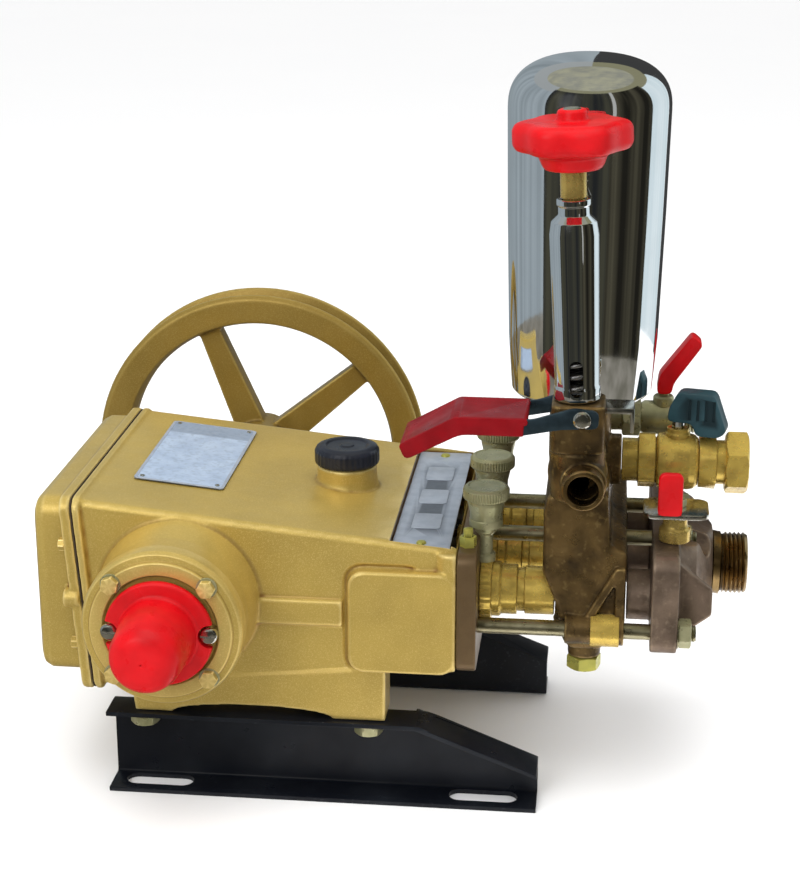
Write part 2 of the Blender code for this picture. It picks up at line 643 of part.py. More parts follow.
def make_regulator():
    mid = (HEAD_X, REGULATOR_Y, 0)
    profile = [(169.6, 0), (169.6, 9), (172, 13), (196, 14), (198, 12), (204, 12), (204, 0)]
    body = turned("regulator_body", "Z", mid, profile, 16)
    line = (HEAD_X + 3.5, 0, 182)
    stub = rod("nipple_boss", "Y", line, 11.4, -86.0, -70, 16)
    neck = rod("body_neck", "Y", (HEAD_X, 0, GALLERY_Z), 8.6, -75, -50, 14)
    collar = rod("body_collar", "Y", (HEAD_X, 0, GALLERY_Z), 13.0, -64, -55.3, 16)
    head = prism("body_head", "Z", (0, 0, 0), rounded(187, 213, -85.7, -58.3, 4, 2), 197, 221)
    bracket = block("cam_bracket", (210, -80, 216.5), (227, -64, 219.5))
    lip = block("cam_lip", (224.4, -80, 207), (227, -64, 219))
    add(body, stub, neck, collar, head, bracket, lip)
    cuts = [rod("overflow_bore", "Y", line, 7.6, -100, -70, 14)]
    cuts.append(rod("inlet_bore", "Y", (HEAD_X, 0, GALLERY_Z), 6.0, -73, -40, 12))
    cuts.append(rod("valve_bore", "Z", mid, 6.5, 180, 223, 12))
    cuts.append(rod("pivot_hole", "Y", (PIVOT[0], 0, PIVOT[2]), 3.3, -90, -50, 12))
    cut(body, *cuts)
    paint(body, BRONZE, 0.4, 0.9)
    nipple = tube("overflow_nipple", "Y", line, 10.4, 7.6, -96, -86.3, 18)
    paint(nipple, BRASS, 0.35, 1.0)
    profile = [(222, 9.6), (222, 11.0), (303, 11.9), (310, 10.5), (312, 7.4), (320, 7.4)]
    profile += [(320, 5.6), (309, 5.6), (306, 9.6)]
    sleeve = turned("regulator_sleeve", "Z", mid, profile, 20)
    window = block("sleeve_window", (HEAD_X - 3, -90, 226), (HEAD_X + 3, -76, 242))
    cut(sleeve, window)
    lean(sleeve, window)
    paint(sleeve, CHROME, 0.12, 1.0)


def lean(*objs):
    """Stands the pieces on the regulator's own axis, which leans a little."""
    for obj in objs:
        obj.parent = LEANING
        obj.location -= LEANING.location


def make_leaning():
    made = bpy.data.objects.new("regulator_axis", None)
    made.location = Vector((HEAD_X, REGULATOR_Y, 205)) * MM
    made.rotation_euler = (0.0, math.radians(-REGULATOR_LEAN), 0.0)
    made.parent = DATUM
    PARTS.objects.link(made)
    return made


def make_spring():
    curve = bpy.data.curves.new("regulator_spring", "CURVE")
    curve.dimensions = "3D"
    turns, steps = 8, 8
    points = []
    for k in range(turns * steps + 1):
        angle = 2 * math.pi * k / steps
        x, y, z = COIL_R * math.cos(angle), COIL_R * math.sin(angle), COIL_LENGTH * k / (turns * steps)
        points.append((x * MM, y * MM, z * MM, 1.0))
    spline = curve.splines.new("POLY")
    spline.points.add(len(points) - 1)
    for point, value in zip(spline.points, points):
        point.co = value
    curve.bevel_depth = 1.2 * MM
    curve.bevel_resolution = 0
    curve.use_fill_caps = True
    spring = bpy.data.objects.new("regulator_spring", curve)
    spring.location = Vector((HEAD_X, REGULATOR_Y, COIL_FROM)) * MM
    spring.parent = DATUM
    PARTS.objects.link(spring)
    lean(spring)
    paint(spring, STEEL, 0.3, 1.0)


def make_knob():
    mid = (HEAD_X, REGULATOR_Y, 340)
    profile = [(290, 0), (290, 8.8), (293, 8.8), (293, 5.2), (358, 5.2), (359, 4.4), (359, 0)]
    stem = turned("regulator_stem", "Z", mid, profile, 14)
    lean(stem)
    paint(stem, BRASS, 0.35, 1.0)
    outline = []
    for k in range(30):
        angle = 2 * math.pi * k / 30
        radius = 26.9 + 1.7 * math.cos(6 * angle)
        outline.append((HEAD_X + radius * math.cos(angle), REGULATOR_Y + radius * math.sin(angle)))
    knob = prism("regulator_knob", "Z", mid, outline, 342, 357)
    soften(knob, 2.5, 2, 50)
    profile = [(334, 0), (334, 14.5), (337, 16), (343, 16), (343, 0)]
    hub = turned("knob_hub", "Z", mid, profile, 14)
    boss = rod("knob_boss", "Z", mid, 7.0, 350, 362, 12)
    add(knob, hub, boss)
    bore = rod("knob_bore", "Z", mid, 5.5, 330, 359.4, 12)
    cut(knob, bore)
    lean(knob, hub, boss, bore)
    paint(knob, RED, 0.3, 0.0)


def make_lever():
    inner, outer = 14.3, 17.5
    arm = [(210, 211), (210, 220.5), (198, 222), (178, 215.5), (141, 215.5), (113.5, 200.5), (116.5, 192.5)]
    arm += [(143.5, 206.5), (174, 206.5), (192, 210)]
    side = prism("release_lever", "Y", PIVOT, arm, REGULATOR_Y - outer, REGULATOR_Y - inner)
    far = prism("far_arm", "Y", PIVOT, arm, REGULATOR_Y + inner, REGULATOR_Y + outer)
    grip = [(176, 215.4), (140.8, 215.4), (113.6, 200.4), (114.8, 197.2), (142, 212.2), (176, 212.2)]
    grip = prism("grip", "Y", PIVOT, grip, REGULATOR_Y - outer, REGULATOR_Y + outer)
    add(side, grip, far)
    cut(side, rod("lever_hole", "Y", PIVOT, 3.3, -100, -40, 12))
    paint(side, DARK_RED, 0.35, 0.0)
    pin = rod("lever_pin", "Y", PIVOT, 3.0, REGULATOR_Y - 19, REGULATOR_Y + 19, 12)
    heads = [rod("pin_head", "Y", PIVOT, 4.6, REGULATOR_Y - 20.5, REGULATOR_Y - 17.8, 12)]
    heads.append(rod("pin_clip", "Y", PIVOT, 4.2, REGULATOR_Y + 17.8, REGULATOR_Y + 19.5, 12))
    add(pin, *heads)
    paint(pin, STEEL, 0.3, 1.0)


def make_outlet():
    mid = (0, 0, OUTLET_Z)
    profile = [(222.3, 8), (222.3, 11.5), (231, 11.5), (231, 14), (239, 14), (240, 15), (262, 15), (262, 8)]
    body = turned("outlet_valve_body", "X", mid, profile, 18)
    add(body, rod("stem_neck", "Z", (251, 0, 0), 6.0, 176, 186, 12))
    bore = rod("stem_hole", "Z", (251, 0, 0), 3.3, OUTLET_Z, 190, 12)
    pocket = turned("ball_pocket", "X", mid, ball_profile(12.2), 14)
    cut(body, bore, pocket)
    paint(body, BRASS, 0.25, 1.0)
    profile = [(262.3, 8), (262.3, 13.5), (271, 13.5), (271, 11.6), (287.5, 11.6), (287.5, 8)]
    tail = turned("outlet_connector", "X", mid, profile, 18)
    paint(tail, BRASS, 0.25, 1.0)
    ball = turned("outlet_valve_ball", "Z", (251, 0, OUTLET_Z), z_ball_profile(11.0), 14)
    cut(ball, rod("ball_bore", "X", mid, 7.0, 235, 267, 12))
    add(ball, rod("ball_stem", "Z", (251, 0, 0), 3.0, OUTLET_Z + 9, 190, 12))
    paint(ball, CHROME, 0.2, 1.0)
    at = (251, 0, 190)
    outline = [(246, 190), (247, 197), (251, 206.5), (270, 206.5), (277, 187)]
    outline += [(273, 183), (261, 183), (259, 190)]
    handle = prism("outlet_valve_handle", "Y", at, outline, -5.5, 5.5)
    soften(handle, 1.5, 1)
    handle.rotation_euler = (0.0, 0.0, math.radians(-12))
    cut(handle, rod("handle_hole", "Z", (251, 0, 0), 3.3, 186, 190.3, 12))
    paint(handle, TEAL, 0.4, 0.0)
    nut = hexagon("outlet_union_nut", "X", mid, 17.0, 276, 288.0, 30, (280, 0, OUTLET_Z))
    soften(nut, 0.8, 1)
    cut(nut, rod("nut_bore", "X", mid, 11.95, 270, 295, 16))
    paint(nut, BRASS, 0.25, 1.0)


def ball_profile(radius):
    points = []
    for k in range(9):
        angle = math.pi * k / 8
        points.append((251 - radius * math.cos(angle), radius * math.sin(angle)))
    points[0] = (251 - radius, 0.0)
    points[-1] = (251 + radius, 0.0)
    return points


def z_ball_profile(radius):
    return [(station - 251 + OUTLET_Z, size) for station, size in ball_profile(radius)]


def make_cocks():
    at = (250, -45, 156)
    profile = [(140.3, 0), (140.3, 8), (148, 8), (149, 6), (155, 6), (155, 3), (164, 3), (164, 0)]
    body = turned("near_cock_body", "Z", (250, -45, 0), profile, 14)
    paint(body, BRASS, 0.3, 1.0)
    plate = prism("near_cock_lever", "Z", at, rounded(233.5, 266.5, -60, -33, 5, 2), 156, 158.5)
    tab = prism("cock_tab", "Z", at, rounded(240.5, 253, -60, -56.6, 1.5, 1), 157, 180)
    add(plate, tab)
    cut(plate, rod("cock_hole", "Z", at, 3.3, 150, 170, 12))
    paint(plate, RED, 0.35, 0.0)
    line = (0, 42, GALLERY_Z)
    far = rod("far_cock_body", "X", line, 8.0, 214.8, 262, 14)
    stem_line = (244, 42, 0)
    add(far, hexagon("far_hex", "X", line, 10.5, 222, 232))
    add(far, rod("far_stem", "Z", stem_line, 3.0, 180, 200, 12))
    add(far, rod("far_collar", "Z", stem_line, 5.5, 180, 191, 12))
    cut(far, rod("far_bore", "X", line, 5.0, 225, 270, 12))
    paint(far, BRASS, 0.3, 1.0)
    outline = [(240, 193), (248, 193), (249, 199), (264, 221), (258, 226), (241, 203)]
    lever = prism("far_cock_lever", "Y", (244, 42, 196), outline, 36, 48)
    soften(lever, 1.5, 1)
    cut(lever, rod("far_hole", "Z", stem_line, 3.3, 180, 200.4, 12))
    paint(lever, RED, 0.35, 0.0)


def slot(name, x, y, length):
    """A cutter for a slot along X, 12 wide, through the lower flange."""
    half = length / 2
    return prism(name, "Z", (0, 0, 0), rounded(x - half, x + half, y - 6, y + 6, 5.9, 4), -5, 8)


def make_frame(name, side):
    top = FRAME_HEIGHT
    outline = [(FRAME_FROM, 0), (FRAME_TO, 0), (FRAME_TO, 21.5), (121, top), (FRAME_FROM, top)]
    web, edge = side * FRAME_WEB, side * FRAME_EDGE
    frame = prism(name, "Y", (0, 0, 0), outline, web, edge)
    inner = [(FRAME_FROM - 9, SHEET), (FRAME_TO + 9, SHEET), (FRAME_TO + 9, 15), (120.4, top - SHEET)]
    inner.append((FRAME_FROM - 9, top - SHEET))
    channel = prism("channel_" + name, "Y", (0, 0, 0), inner, side * (FRAME_WEB + SHEET), side * 100)
    cut(frame, channel, slot("slot_a_" + name, -16, side * 70.5, 36))
    cut(frame, slot("slot_b_" + name, 156, side * 70.5, 36))
    bolts = []
    for number, x in enumerate((-22.5, 96)):
        bolts.append(hexagon("bolt_%d_%s" % (number, name), "Z", (x, side * 71, 0), 8.0, 36.5, 44))
    add(frame, *bolts)
    paint(frame, BLACK, 0.4, 0.3)


clear_scene()
PARTS = make_collection("pressure_washer_pump", False)
CUTTERS = make_collection("pump_cutters", True)
DATUM = make_datum()
LEANING = make_leaning()
make_crankcase()
make_rear_cover()
make_gasket()
make_oil_cap()
make_nameplate()
make_splash_cover()
make_bearing_covers()
make_bearing("bearing_near", -107.8)
make_bearing("bearing_far", 83.8)
make_guard()
make_crankshaft()
make_pulley()
for index in range(3):
    make_con_rod(index)
    make_crosshead(index)
    make_cylinder(index)
make_manifold()
make_suction_housing()
make_studs()
make_drain_plug()
make_air_chamber()
make_regulator()
make_spring()
make_knob()
make_lever()
make_outlet()
make_cocks()
make_frame("frame_near", -1)
make_frame("frame_far", 1)
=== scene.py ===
import json
import math

import bmesh
import bpy
from mathutils import Matrix, Vector


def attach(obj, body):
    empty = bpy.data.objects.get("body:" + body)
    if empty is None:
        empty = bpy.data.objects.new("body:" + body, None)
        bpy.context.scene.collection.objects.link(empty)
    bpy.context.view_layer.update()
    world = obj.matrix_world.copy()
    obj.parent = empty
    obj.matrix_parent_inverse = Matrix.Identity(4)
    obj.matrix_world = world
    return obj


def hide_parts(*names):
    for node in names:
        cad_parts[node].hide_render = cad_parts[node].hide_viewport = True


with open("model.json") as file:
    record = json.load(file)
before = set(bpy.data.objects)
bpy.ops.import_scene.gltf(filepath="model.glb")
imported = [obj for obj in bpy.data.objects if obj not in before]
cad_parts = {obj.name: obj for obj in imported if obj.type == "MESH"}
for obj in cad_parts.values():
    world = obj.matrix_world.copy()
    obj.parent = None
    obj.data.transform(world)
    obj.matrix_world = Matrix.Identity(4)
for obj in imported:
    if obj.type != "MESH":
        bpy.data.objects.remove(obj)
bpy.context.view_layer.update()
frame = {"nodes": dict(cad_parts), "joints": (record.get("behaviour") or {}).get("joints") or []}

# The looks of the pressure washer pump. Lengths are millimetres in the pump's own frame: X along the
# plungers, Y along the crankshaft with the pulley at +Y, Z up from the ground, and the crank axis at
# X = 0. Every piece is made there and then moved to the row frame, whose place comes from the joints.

MM = 0.001
JOINTS = {joint["name"]: joint for joint in frame["joints"]}
CRANK_AT = JOINTS["crank_spin"]["pos_m"]
AXIS_Z = CRANK_AT[2] / MM  # height of the crank and plunger axes
ORIGIN = Vector((CRANK_AT[0], JOINTS["outlet_valve_turn"]["pos_m"][1], 0.0))
PLUNGER_YS = tuple((JOINTS["grease_cap_turn_%d" % k]["pos_m"][1] - ORIGIN.y) / MM for k in (1, 2, 3))
PULLEY_Y = (CRANK_AT[1] - ORIGIN.y) / MM
KNOB_AT = (Vector(JOINTS["pressure_knob_turn"]["pos_m"]) - ORIGIN) / MM
KNOB_AXIS = Vector(JOINTS["pressure_knob_turn"]["axis"])
PIVOT = (Vector(JOINTS["release_lever_lift"]["pos_m"]) - ORIGIN) / MM
VALVE_AT = (Vector(JOINTS["outlet_valve_turn"]["pos_m"]) - ORIGIN) / MM
NEAR_COCK = (Vector(JOINTS["near_cock_turn"]["pos_m"]) - ORIGIN) / MM
FAR_COCK = (Vector(JOINTS["far_cock_turn"]["pos_m"]) - ORIGIN) / MM
OUTLET_Z = (Vector(JOINTS["union_nut_turn"]["pos_m"]) - ORIGIN).z / MM

CASE_REAR, CASE_FRONT, CASE_HALF = -50.0, 152.0, 80.0
CASE_TOP = (162.0, 141.5)  # heights of the top at the rear and at the front
CASE_BOTTOM = (60.0, 80.5)
REAR_LEAN = 0.076  # the rear joint stands this much further back for each millimetre of height
STUDS_LOW = (67, 98)  # distance from the middle plane and height of the two lower tie studs
STUDS_TOP = (25, 133)  # and of the two upper ones
CAST_SHARP = 60.0  # castings are shaded smooth over all but their hard edges, in degrees
HEAD_X = KNOB_AT.x  # the manifold, the air chamber and the regulator stand on this line
HEAD_Y = KNOB_AT.y  # the regulator's distance from the middle plane
GALLERY_Z = 178.0
INDEX = {"X": 0, "Y": 1, "Z": 2}


# ---------------------------------------------------------------- mesh tools


def mesh_of(name, bm):
    mesh = bpy.data.meshes.new(name)
    bm.to_mesh(mesh)
    bm.free()
    return mesh


def linked(name, data):
    """An object with this data, in the scene."""
    obj = bpy.data.objects.new(name, data)
    bpy.context.scene.collection.objects.link(obj)
    return obj


def made(name, bm):
    """An object from a bmesh, in the row frame."""
    bmesh.ops.recalc_face_normals(bm, faces=bm.faces)
    mesh = mesh_of(name, bm)
    mesh.transform(Matrix.Translation(ORIGIN) @ Matrix.Scale(MM, 4))
    return linked(name, mesh)


def spot(axis, centre, station, a, b):
    """A point at a station along an axis through centre, a and b along the two other axes in order."""
    point = [centre[i] for i in range(3)]
    point[INDEX[axis]] = station
    others = [i for i in range(3) if i != INDEX[axis]]
    point[others[0]] += a
    point[others[1]] += b
    return Vector(point)


def rounded_corners(points, radius, closed, segments=3):
    """The same path with an arc at each corner, as large as its two sides leave room for."""
    path = [Vector(point) for point in points]
    out = []
    for i, here in enumerate(path):
        if not closed and i in (0, len(path) - 1):
            out.append(here)
            continue
        before, after = path[i - 1], path[(i + 1) % len(path)]
        back, ahead = before - here, after - here
        if min(back.length, ahead.length) < 1e-6 or back.angle(ahead) > math.radians(168):
            out.append(here)
            continue
        reach = min(radius, back.length * 0.45, ahead.length * 0.45)
        start, end = here + back.normalized() * reach, here + ahead.normalized() * reach
        for k in range(segments + 1):
            t = k / segments
            out.append(start * (1 - t) ** 2 + here * 2 * t * (1 - t) + end * t * t)
    return [tuple(point) for point in out]


def bridge(bm, first, second):
    count = max(len(first), len(second))
    for k in range(count):
        ring = [first[k % len(first)], first[(k + 1) % len(first)]]
        ring += [second[(k + 1) % len(second)], second[k % len(second)]]
        corners = list(dict.fromkeys(ring))
        if len(corners) > 2:
            bm.faces.new(corners)


def lathe(name, axis, centre, profile, steps=72, fillet=0.4, shape=None):
    """A turned piece from (station, radius) pairs. A shape may change the radius at each angle."""
    closed = profile[0][1] > 0
    points = rounded_corners(profile, fillet, closed) if fillet else list(profile)
    bm = bmesh.new()
    rings = []
    for station, radius in points:
        if radius < 1e-6:
            rings.append([bm.verts.new(spot(axis, centre, station, 0, 0))])
            continue
        ring = []
        for k in range(steps):
            angle = 2 * math.pi * k / steps
            size = shape(angle, station, radius) if shape else radius
            a, b = size * math.cos(angle), size * math.sin(angle)
            ring.append(bm.verts.new(spot(axis, centre, station, a, b)))
        rings.append(ring)
    for first, second in zip(rings, rings[1:]):
        bridge(bm, first, second)
    if closed:
        bridge(bm, rings[-1], rings[0])
    return made(name, bm)


def hexed(corner, turn=0.0):
    """A shape that trims a turned piece to a hexagon, so that its chamfers come out curved."""
    flat = corner * math.cos(math.pi / 6)

    def shape(angle, station, radius):
        off = (angle - math.radians(turn)) % (math.pi / 3) - math.pi / 6
        return min(radius, flat / math.cos(off))

    return shape


def fluted(count, depth, floor):
    """A shape that cuts grip flutes into what stands outside the floor radius."""

    def shape(angle, station, radius):
        if radius < floor:
            return radius
        return radius - depth * (0.5 + 0.5 * math.cos(count * angle)) ** 2

    return shape


def threaded(pitch, depth, floor):
    """A shape that cuts a helical thread into what stands outside the floor radius."""

    def shape(angle, station, radius):
        if radius < floor:
            return radius
        phase = (station / pitch - angle / (2 * math.pi)) % 1.0
        return radius - depth * (1.0 - abs(2 * phase - 1.0))

    return shape


def thread_run(start, end, radius, pitch):
    """Stations close enough together to carry a thread."""
    count = max(2, int(round(abs(end - start) / pitch * 8)))
    return [(start + (end - start) * k / count, radius) for k in range(count + 1)]


def nut_profile(start, end, corner, inner=0.0):
    """A chamfered nut or bolt head, ready for a hexagon shape."""
    flat = corner * math.cos(math.pi / 6)
    side = 1 if end > start else -1
    drop = 0.55 * (corner - flat)
    run = []
    for k in range(5):
        run.append((start + side * drop * k / 4, flat * 0.97 + (corner - flat * 0.97) * k / 4))
    run += [(end - (station - start), radius) for station, radius in reversed(run)]
    return [(start, inner)] + run + [(end, inner)]


def nut(name, axis, centre, corner, start, end, turn=0.0, inner=0.0):
    profile = nut_profile(start, end, corner, inner)
    return lathe(name, axis, centre, profile, 72, 0, hexed(corner, turn))


def extrude(name, axis, outline, start, end, bevel=0.6, segments=2, sharp=30.0):
    """An outline pushed along an axis, its sharp edges rounded."""
    bm = bmesh.new()
    low = [bm.verts.new(spot(axis, (0, 0, 0), start, a, b)) for a, b in outline]
    face = bm.faces.new(low)
    pushed = bmesh.ops.extrude_face_region(bm, geom=[face])
    step = [0.0, 0.0, 0.0]
    step[INDEX[axis]] = end - start
    moved = [item for item in pushed["geom"] if isinstance(item, bmesh.types.BMVert)]
    bmesh.ops.translate(bm, vec=step, verts=moved)
    bmesh.ops.recalc_face_normals(bm, faces=bm.faces)
    if bevel:
        edges = [e for e in bm.edges if e.calc_face_angle(0.0) > math.radians(sharp)]
        bmesh.ops.bevel(bm, geom=edges, offset=bevel, segments=segments, profile=0.5,
                        affect="EDGES", clamp_overlap=True)
    return made(name, bm)


def block(name, low, high, bevel=0.6, segments=2):
    outline = [(low[0], low[1]), (high[0], low[1]), (high[0], high[1]), (low[0], high[1])]
    return extrude(name, "Z", outline, low[2], high[2], bevel, segments)


def rod(name, axis, centre, radius, start, end, steps=48, fillet=0.0):
    return lathe(name, axis, centre, [(start, 0), (start, radius), (end, radius), (end, 0)], steps, fillet)


def hull(name, points):
    bm = bmesh.new()
    for point in points:
        bm.verts.new(point)
    shell = bmesh.ops.convex_hull(bm, input=bm.verts)
    loose = [item for item in shell["geom_interior"] if isinstance(item, bmesh.types.BMVert)]
    bmesh.ops.delete(bm, geom=loose, context="VERTS")
    return made(name, bm)


def rounded(left, right, low, high, radius, steps=6):
    """The outline of a rectangle with rounded corners."""
    corners = ((right - radius, low + radius, -90), (right - radius, high - radius, 0))
    corners += ((left + radius, high - radius, 90), (left + radius, low + radius, 180))
    outline = []
    for a, b, first in corners:
        for k in range(steps + 1):
            angle = math.radians(first + 90 * k / steps)
            outline.append((a + radius * math.cos(angle), b + radius * math.sin(angle)))
    return outline


def ring(radius, x, z, count=40):
    turns = [2 * math.pi * k / count for k in range(count)]
    return [(x, radius * math.cos(t), z + radius * math.sin(t)) for t in turns]


def bake(obj):
    """Applies the modifiers."""
    graph = bpy.context.evaluated_depsgraph_get()
    mesh = bpy.data.meshes.new_from_object(obj.evaluated_get(graph))
    obj.modifiers.clear()
    obj.data = mesh


def boolean(obj, operation, tools):
    for tool in tools:
        modifier = obj.modifiers.new(tool.name, "BOOLEAN")
        modifier.operation = operation
        modifier.solver = "EXACT"
        modifier.object = tool
    bake(obj)
    for tool in tools:
        bpy.data.objects.remove(tool)


def join(obj, *tools):
    boolean(obj, "UNION", tools)


def carve(obj, *tools):
    boolean(obj, "DIFFERENCE", tools)


def cast(obj, voxel, rounds, keep=0.35):
    """Remeshes a joined shape and melts its inner and outer edges, as a sand casting has them."""
    remesh = obj.modifiers.new("Remesh", "REMESH")
    remesh.mode = "VOXEL"
    remesh.voxel_size = voxel * MM
    melt = obj.modifiers.new("Smooth", "SMOOTH")
    melt.factor = 0.5
    melt.iterations = rounds
    thin = obj.modifiers.new("Decimate", "DECIMATE")
    thin.ratio = keep
    bake(obj)


def tilt(*objs):
    """Turns pieces that were made upright on to the regulator's leaning axis."""
    lean = Vector((0, 0, 1)).rotation_difference(KNOB_AXIS).to_matrix().to_4x4()
    at = Matrix.Translation(ORIGIN + KNOB_AT * MM)
    for obj in objs:
        obj.data.transform(at @ lean @ at.inverted())


def put(obj, material, nodes=(), body="casing", sharp=38.0):
    """Shades a finished piece, gives it its material and hangs it on its body."""
    obj.data.shade_smooth()
    obj.data.set_sharp_from_angle(angle=math.radians(sharp))
    obj.data.materials.clear()
    obj.data.materials.append(material)
    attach(obj, body)
    if nodes:
        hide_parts(*nodes)


# ---------------------------------------------------------------- materials


class Paint:
    """A material with short calls for the nodes that feed its Principled shader."""

    def __init__(self, name, colour, metallic, roughness):
        self.mat = bpy.data.materials.new(name)
        self.mat.use_nodes = True
        self.tree = self.mat.node_tree
        self.shader = self.tree.nodes["Principled BSDF"]
        self.shader.inputs["Base Color"].default_value = (*colour, 1)
        self.shader.inputs["Metallic"].default_value = metallic
        self.shader.inputs["Roughness"].default_value = roughness
        self.height = None

    def node(self, kind, **values):
        node = self.tree.nodes.new(kind)
        for key, value in values.items():
            setattr(node, key, value)
        return node

    def plug(self, source, target):
        if isinstance(source, (int, float)):
            target.default_value = source
        elif isinstance(source, tuple):
            target.default_value = (*source, 1)
        else:
            self.tree.links.new(source, target)

    def place(self, stretch=(1, 1, 1)):
        place = self.node("ShaderNodeMapping")
        self.plug(self.node("ShaderNodeTexCoord").outputs["Object"], place.inputs["Vector"])
        place.inputs["Scale"].default_value = stretch
        return place.outputs["Vector"]

    def noise(self, size, detail=3.0, stretch=(1, 1, 1)):
        """Noise whose features are about this many millimetres across."""
        node = self.node("ShaderNodeTexNoise")
        self.plug(self.place(stretch), node.inputs["Vector"])
        node.inputs["Scale"].default_value = 1 / (size * MM)
        node.inputs["Detail"].default_value = detail
        return node.outputs["Fac"]

    def cells(self, size):
        """A random grey for each cell, as metal flake has."""
        node = self.node("ShaderNodeTexVoronoi")
        self.plug(self.place(), node.inputs["Vector"])
        node.inputs["Scale"].default_value = 1 / (size * MM)
        grey = self.node("ShaderNodeRGBToBW")
        self.plug(node.outputs["Color"], grey.inputs[0])
        return grey.outputs[0]

    def edges(self, low, high):
        """0 to 1 over a range of the surface's pointiness."""
        return self.span(self.node("ShaderNodeNewGeometry").outputs["Pointiness"], low, high)

    def span(self, value, low, high, to_low=0.0, to_high=1.0):
        node = self.node("ShaderNodeMapRange")
        node.inputs["From Min"].default_value = low
        node.inputs["From Max"].default_value = high
        node.inputs["To Min"].default_value = to_low
        node.inputs["To Max"].default_value = to_high
        self.plug(value, node.inputs["Value"])
        return node.outputs["Result"]

    def times(self, a, b):
        node = self.node("ShaderNodeMath", operation="MULTIPLY")
        self.plug(a, node.inputs[0])
        self.plug(b, node.inputs[1])
        return node.outputs[0]

    def mix(self, share, a, b):
        node = self.node("ShaderNodeMix", data_type="RGBA")
        self.plug(share, node.inputs[0])
        self.plug(a, node.inputs[6])
        self.plug(b, node.inputs[7])
        return node.outputs[2]

    def colour(self, socket):
        self.plug(socket, self.shader.inputs["Base Color"])

    def rough(self, socket):
        self.plug(socket, self.shader.inputs["Roughness"])

    def bump(self, height, depth, strength=1.0):
        """Adds relief of this depth in millimetres."""
        node = self.node("ShaderNodeBump")
        node.inputs["Strength"].default_value = strength
        node.inputs["Distance"].default_value = depth * MM
        self.plug(height, node.inputs["Height"])
        if self.height is not None:
            self.plug(self.height, node.inputs["Normal"])
        self.height = node.outputs["Normal"]
        self.plug(self.height, self.shader.inputs["Normal"])

    def coat(self, weight, roughness):
        self.shader.inputs["Coat Weight"].default_value = weight
        self.shader.inputs["Coat Roughness"].default_value = roughness


def metallic_paint(name, base, deep, bright, coat=0.0, metallic=0.55, roughness=0.36, grain=1.6):
    """Flake paint over a casting, with painted shade in its corners and a painted highlight along its edges.
    """
    p = Paint(name, base, metallic, roughness)
    tone = p.mix(p.span(p.noise(38, 3), 0.35, 0.68), base, tuple(0.87 * c for c in base))
    tone = p.mix(p.span(p.cells(0.35), 0.62, 1.0, 0.0, 0.35), tone, bright)
    # painted shade: darker where the surface turns inwards, in corners and creases
    tone = p.mix(p.edges(0.49, 0.455), tone, deep)
    # painted highlight: brighter along outward edges, in patches
    tone = p.mix(p.times(p.edges(0.51, 0.57), p.span(p.noise(7, 4), 0.3, 0.6, 0.6, 1.0)), tone, bright)
    p.colour(tone)
    p.rough(p.span(p.noise(11, 4), 0.3, 0.7, roughness - 0.06, roughness + 0.09))
    p.bump(p.noise(grain, 3), 0.10, 0.6)
    p.bump(p.noise(9, 2), 0.35, 0.35)
    p.coat(coat, 0.3)
    return p.mat


def cast_metal(name, dark, mid, bright, roughness=0.42):
    """A bare casting: dark in its hollows from its skin and from painted shade, with a painted highlight
    where it stands out.
    """
    p = Paint(name, mid, 0.75, roughness)
    tone = p.mix(p.span(p.noise(16, 5), 0.38, 0.66), mid, dark)
    tone = p.mix(p.span(p.noise(3.2, 5), 0.58, 0.76, 0.0, 0.28), tone, bright)
    # painted shade together with dark casting skin: darker where the surface turns inwards
    tone = p.mix(p.edges(0.495, 0.44), tone, tuple(0.45 * c for c in dark))
    # painted highlight: brighter along outward edges, in patches
    tone = p.mix(p.times(p.edges(0.51, 0.58), p.span(p.noise(5, 4), 0.32, 0.6)), tone, bright)
    p.colour(tone)
    p.rough(p.span(p.noise(6, 5), 0.3, 0.7, roughness - 0.12, roughness + 0.14))
    p.bump(p.noise(1.1, 4), 0.16, 0.8)
    p.bump(p.noise(6, 3), 0.5, 0.35)
    return p.mat


def turned_metal(name, base, tint, roughness=0.24, axis="X", metallic=1.0):
    """Machined metal with the fine rings of a lathe about an axis, a little tarnish, and painted shade in its
    hollows.
    """
    p = Paint(name, base, metallic, roughness)
    stretch = [0.02, 0.02, 0.02]
    stretch[INDEX[axis]] = 1.0
    rings = p.noise(0.5, 2, tuple(stretch))
    tone = p.mix(p.span(p.noise(8, 4), 0.4, 0.7, 0.0, 0.8), base, tint)
    # painted shade: darker where the surface turns inwards
    tone = p.mix(p.edges(0.49, 0.45), tone, tuple(0.35 * c for c in tint))
    p.colour(tone)
    p.rough(p.span(p.noise(5, 4), 0.3, 0.7, roughness - 0.07, roughness + 0.1))
    p.bump(rings, 0.025, 0.7)
    return p.mat


def chrome(name, tint=(0.86, 0.88, 0.90)):
    p = Paint(name, tint, 1.0, 0.05)
    p.colour(p.mix(p.span(p.noise(30, 3), 0.35, 0.7), tint, tuple(0.93 * c for c in tint)))
    p.rough(p.span(p.noise(14, 5), 0.45, 0.75, 0.035, 0.10))
    p.bump(p.noise(22, 1), 0.04, 0.35)
    return p.mat


def moulded(name, base, deep, roughness=0.3, coat=0.0, gloss=0.3):
    """Moulded or dipped plastic: a fine skin, slight sink marks, dust-dulled patches and painted shade in its
    hollows.
    """
    p = Paint(name, base, 0.0, roughness)
    tone = p.mix(p.span(p.noise(14, 3), 0.35, 0.7), base, deep)
    # painted shade: darker where the surface turns inwards
    p.colour(p.mix(p.edges(0.49, 0.44), tone, tuple(0.5 * c for c in deep)))
    p.rough(p.span(p.noise(9, 4), 0.3, 0.7, roughness - 0.06, roughness + 0.12))
    p.bump(p.noise(0.9, 2), 0.03, 0.6)
    p.bump(p.noise(12, 2), 0.25, 0.3)
    p.coat(coat, 0.12)
    p.shader.inputs["Specular IOR Level"].default_value = gloss
    return p.mat


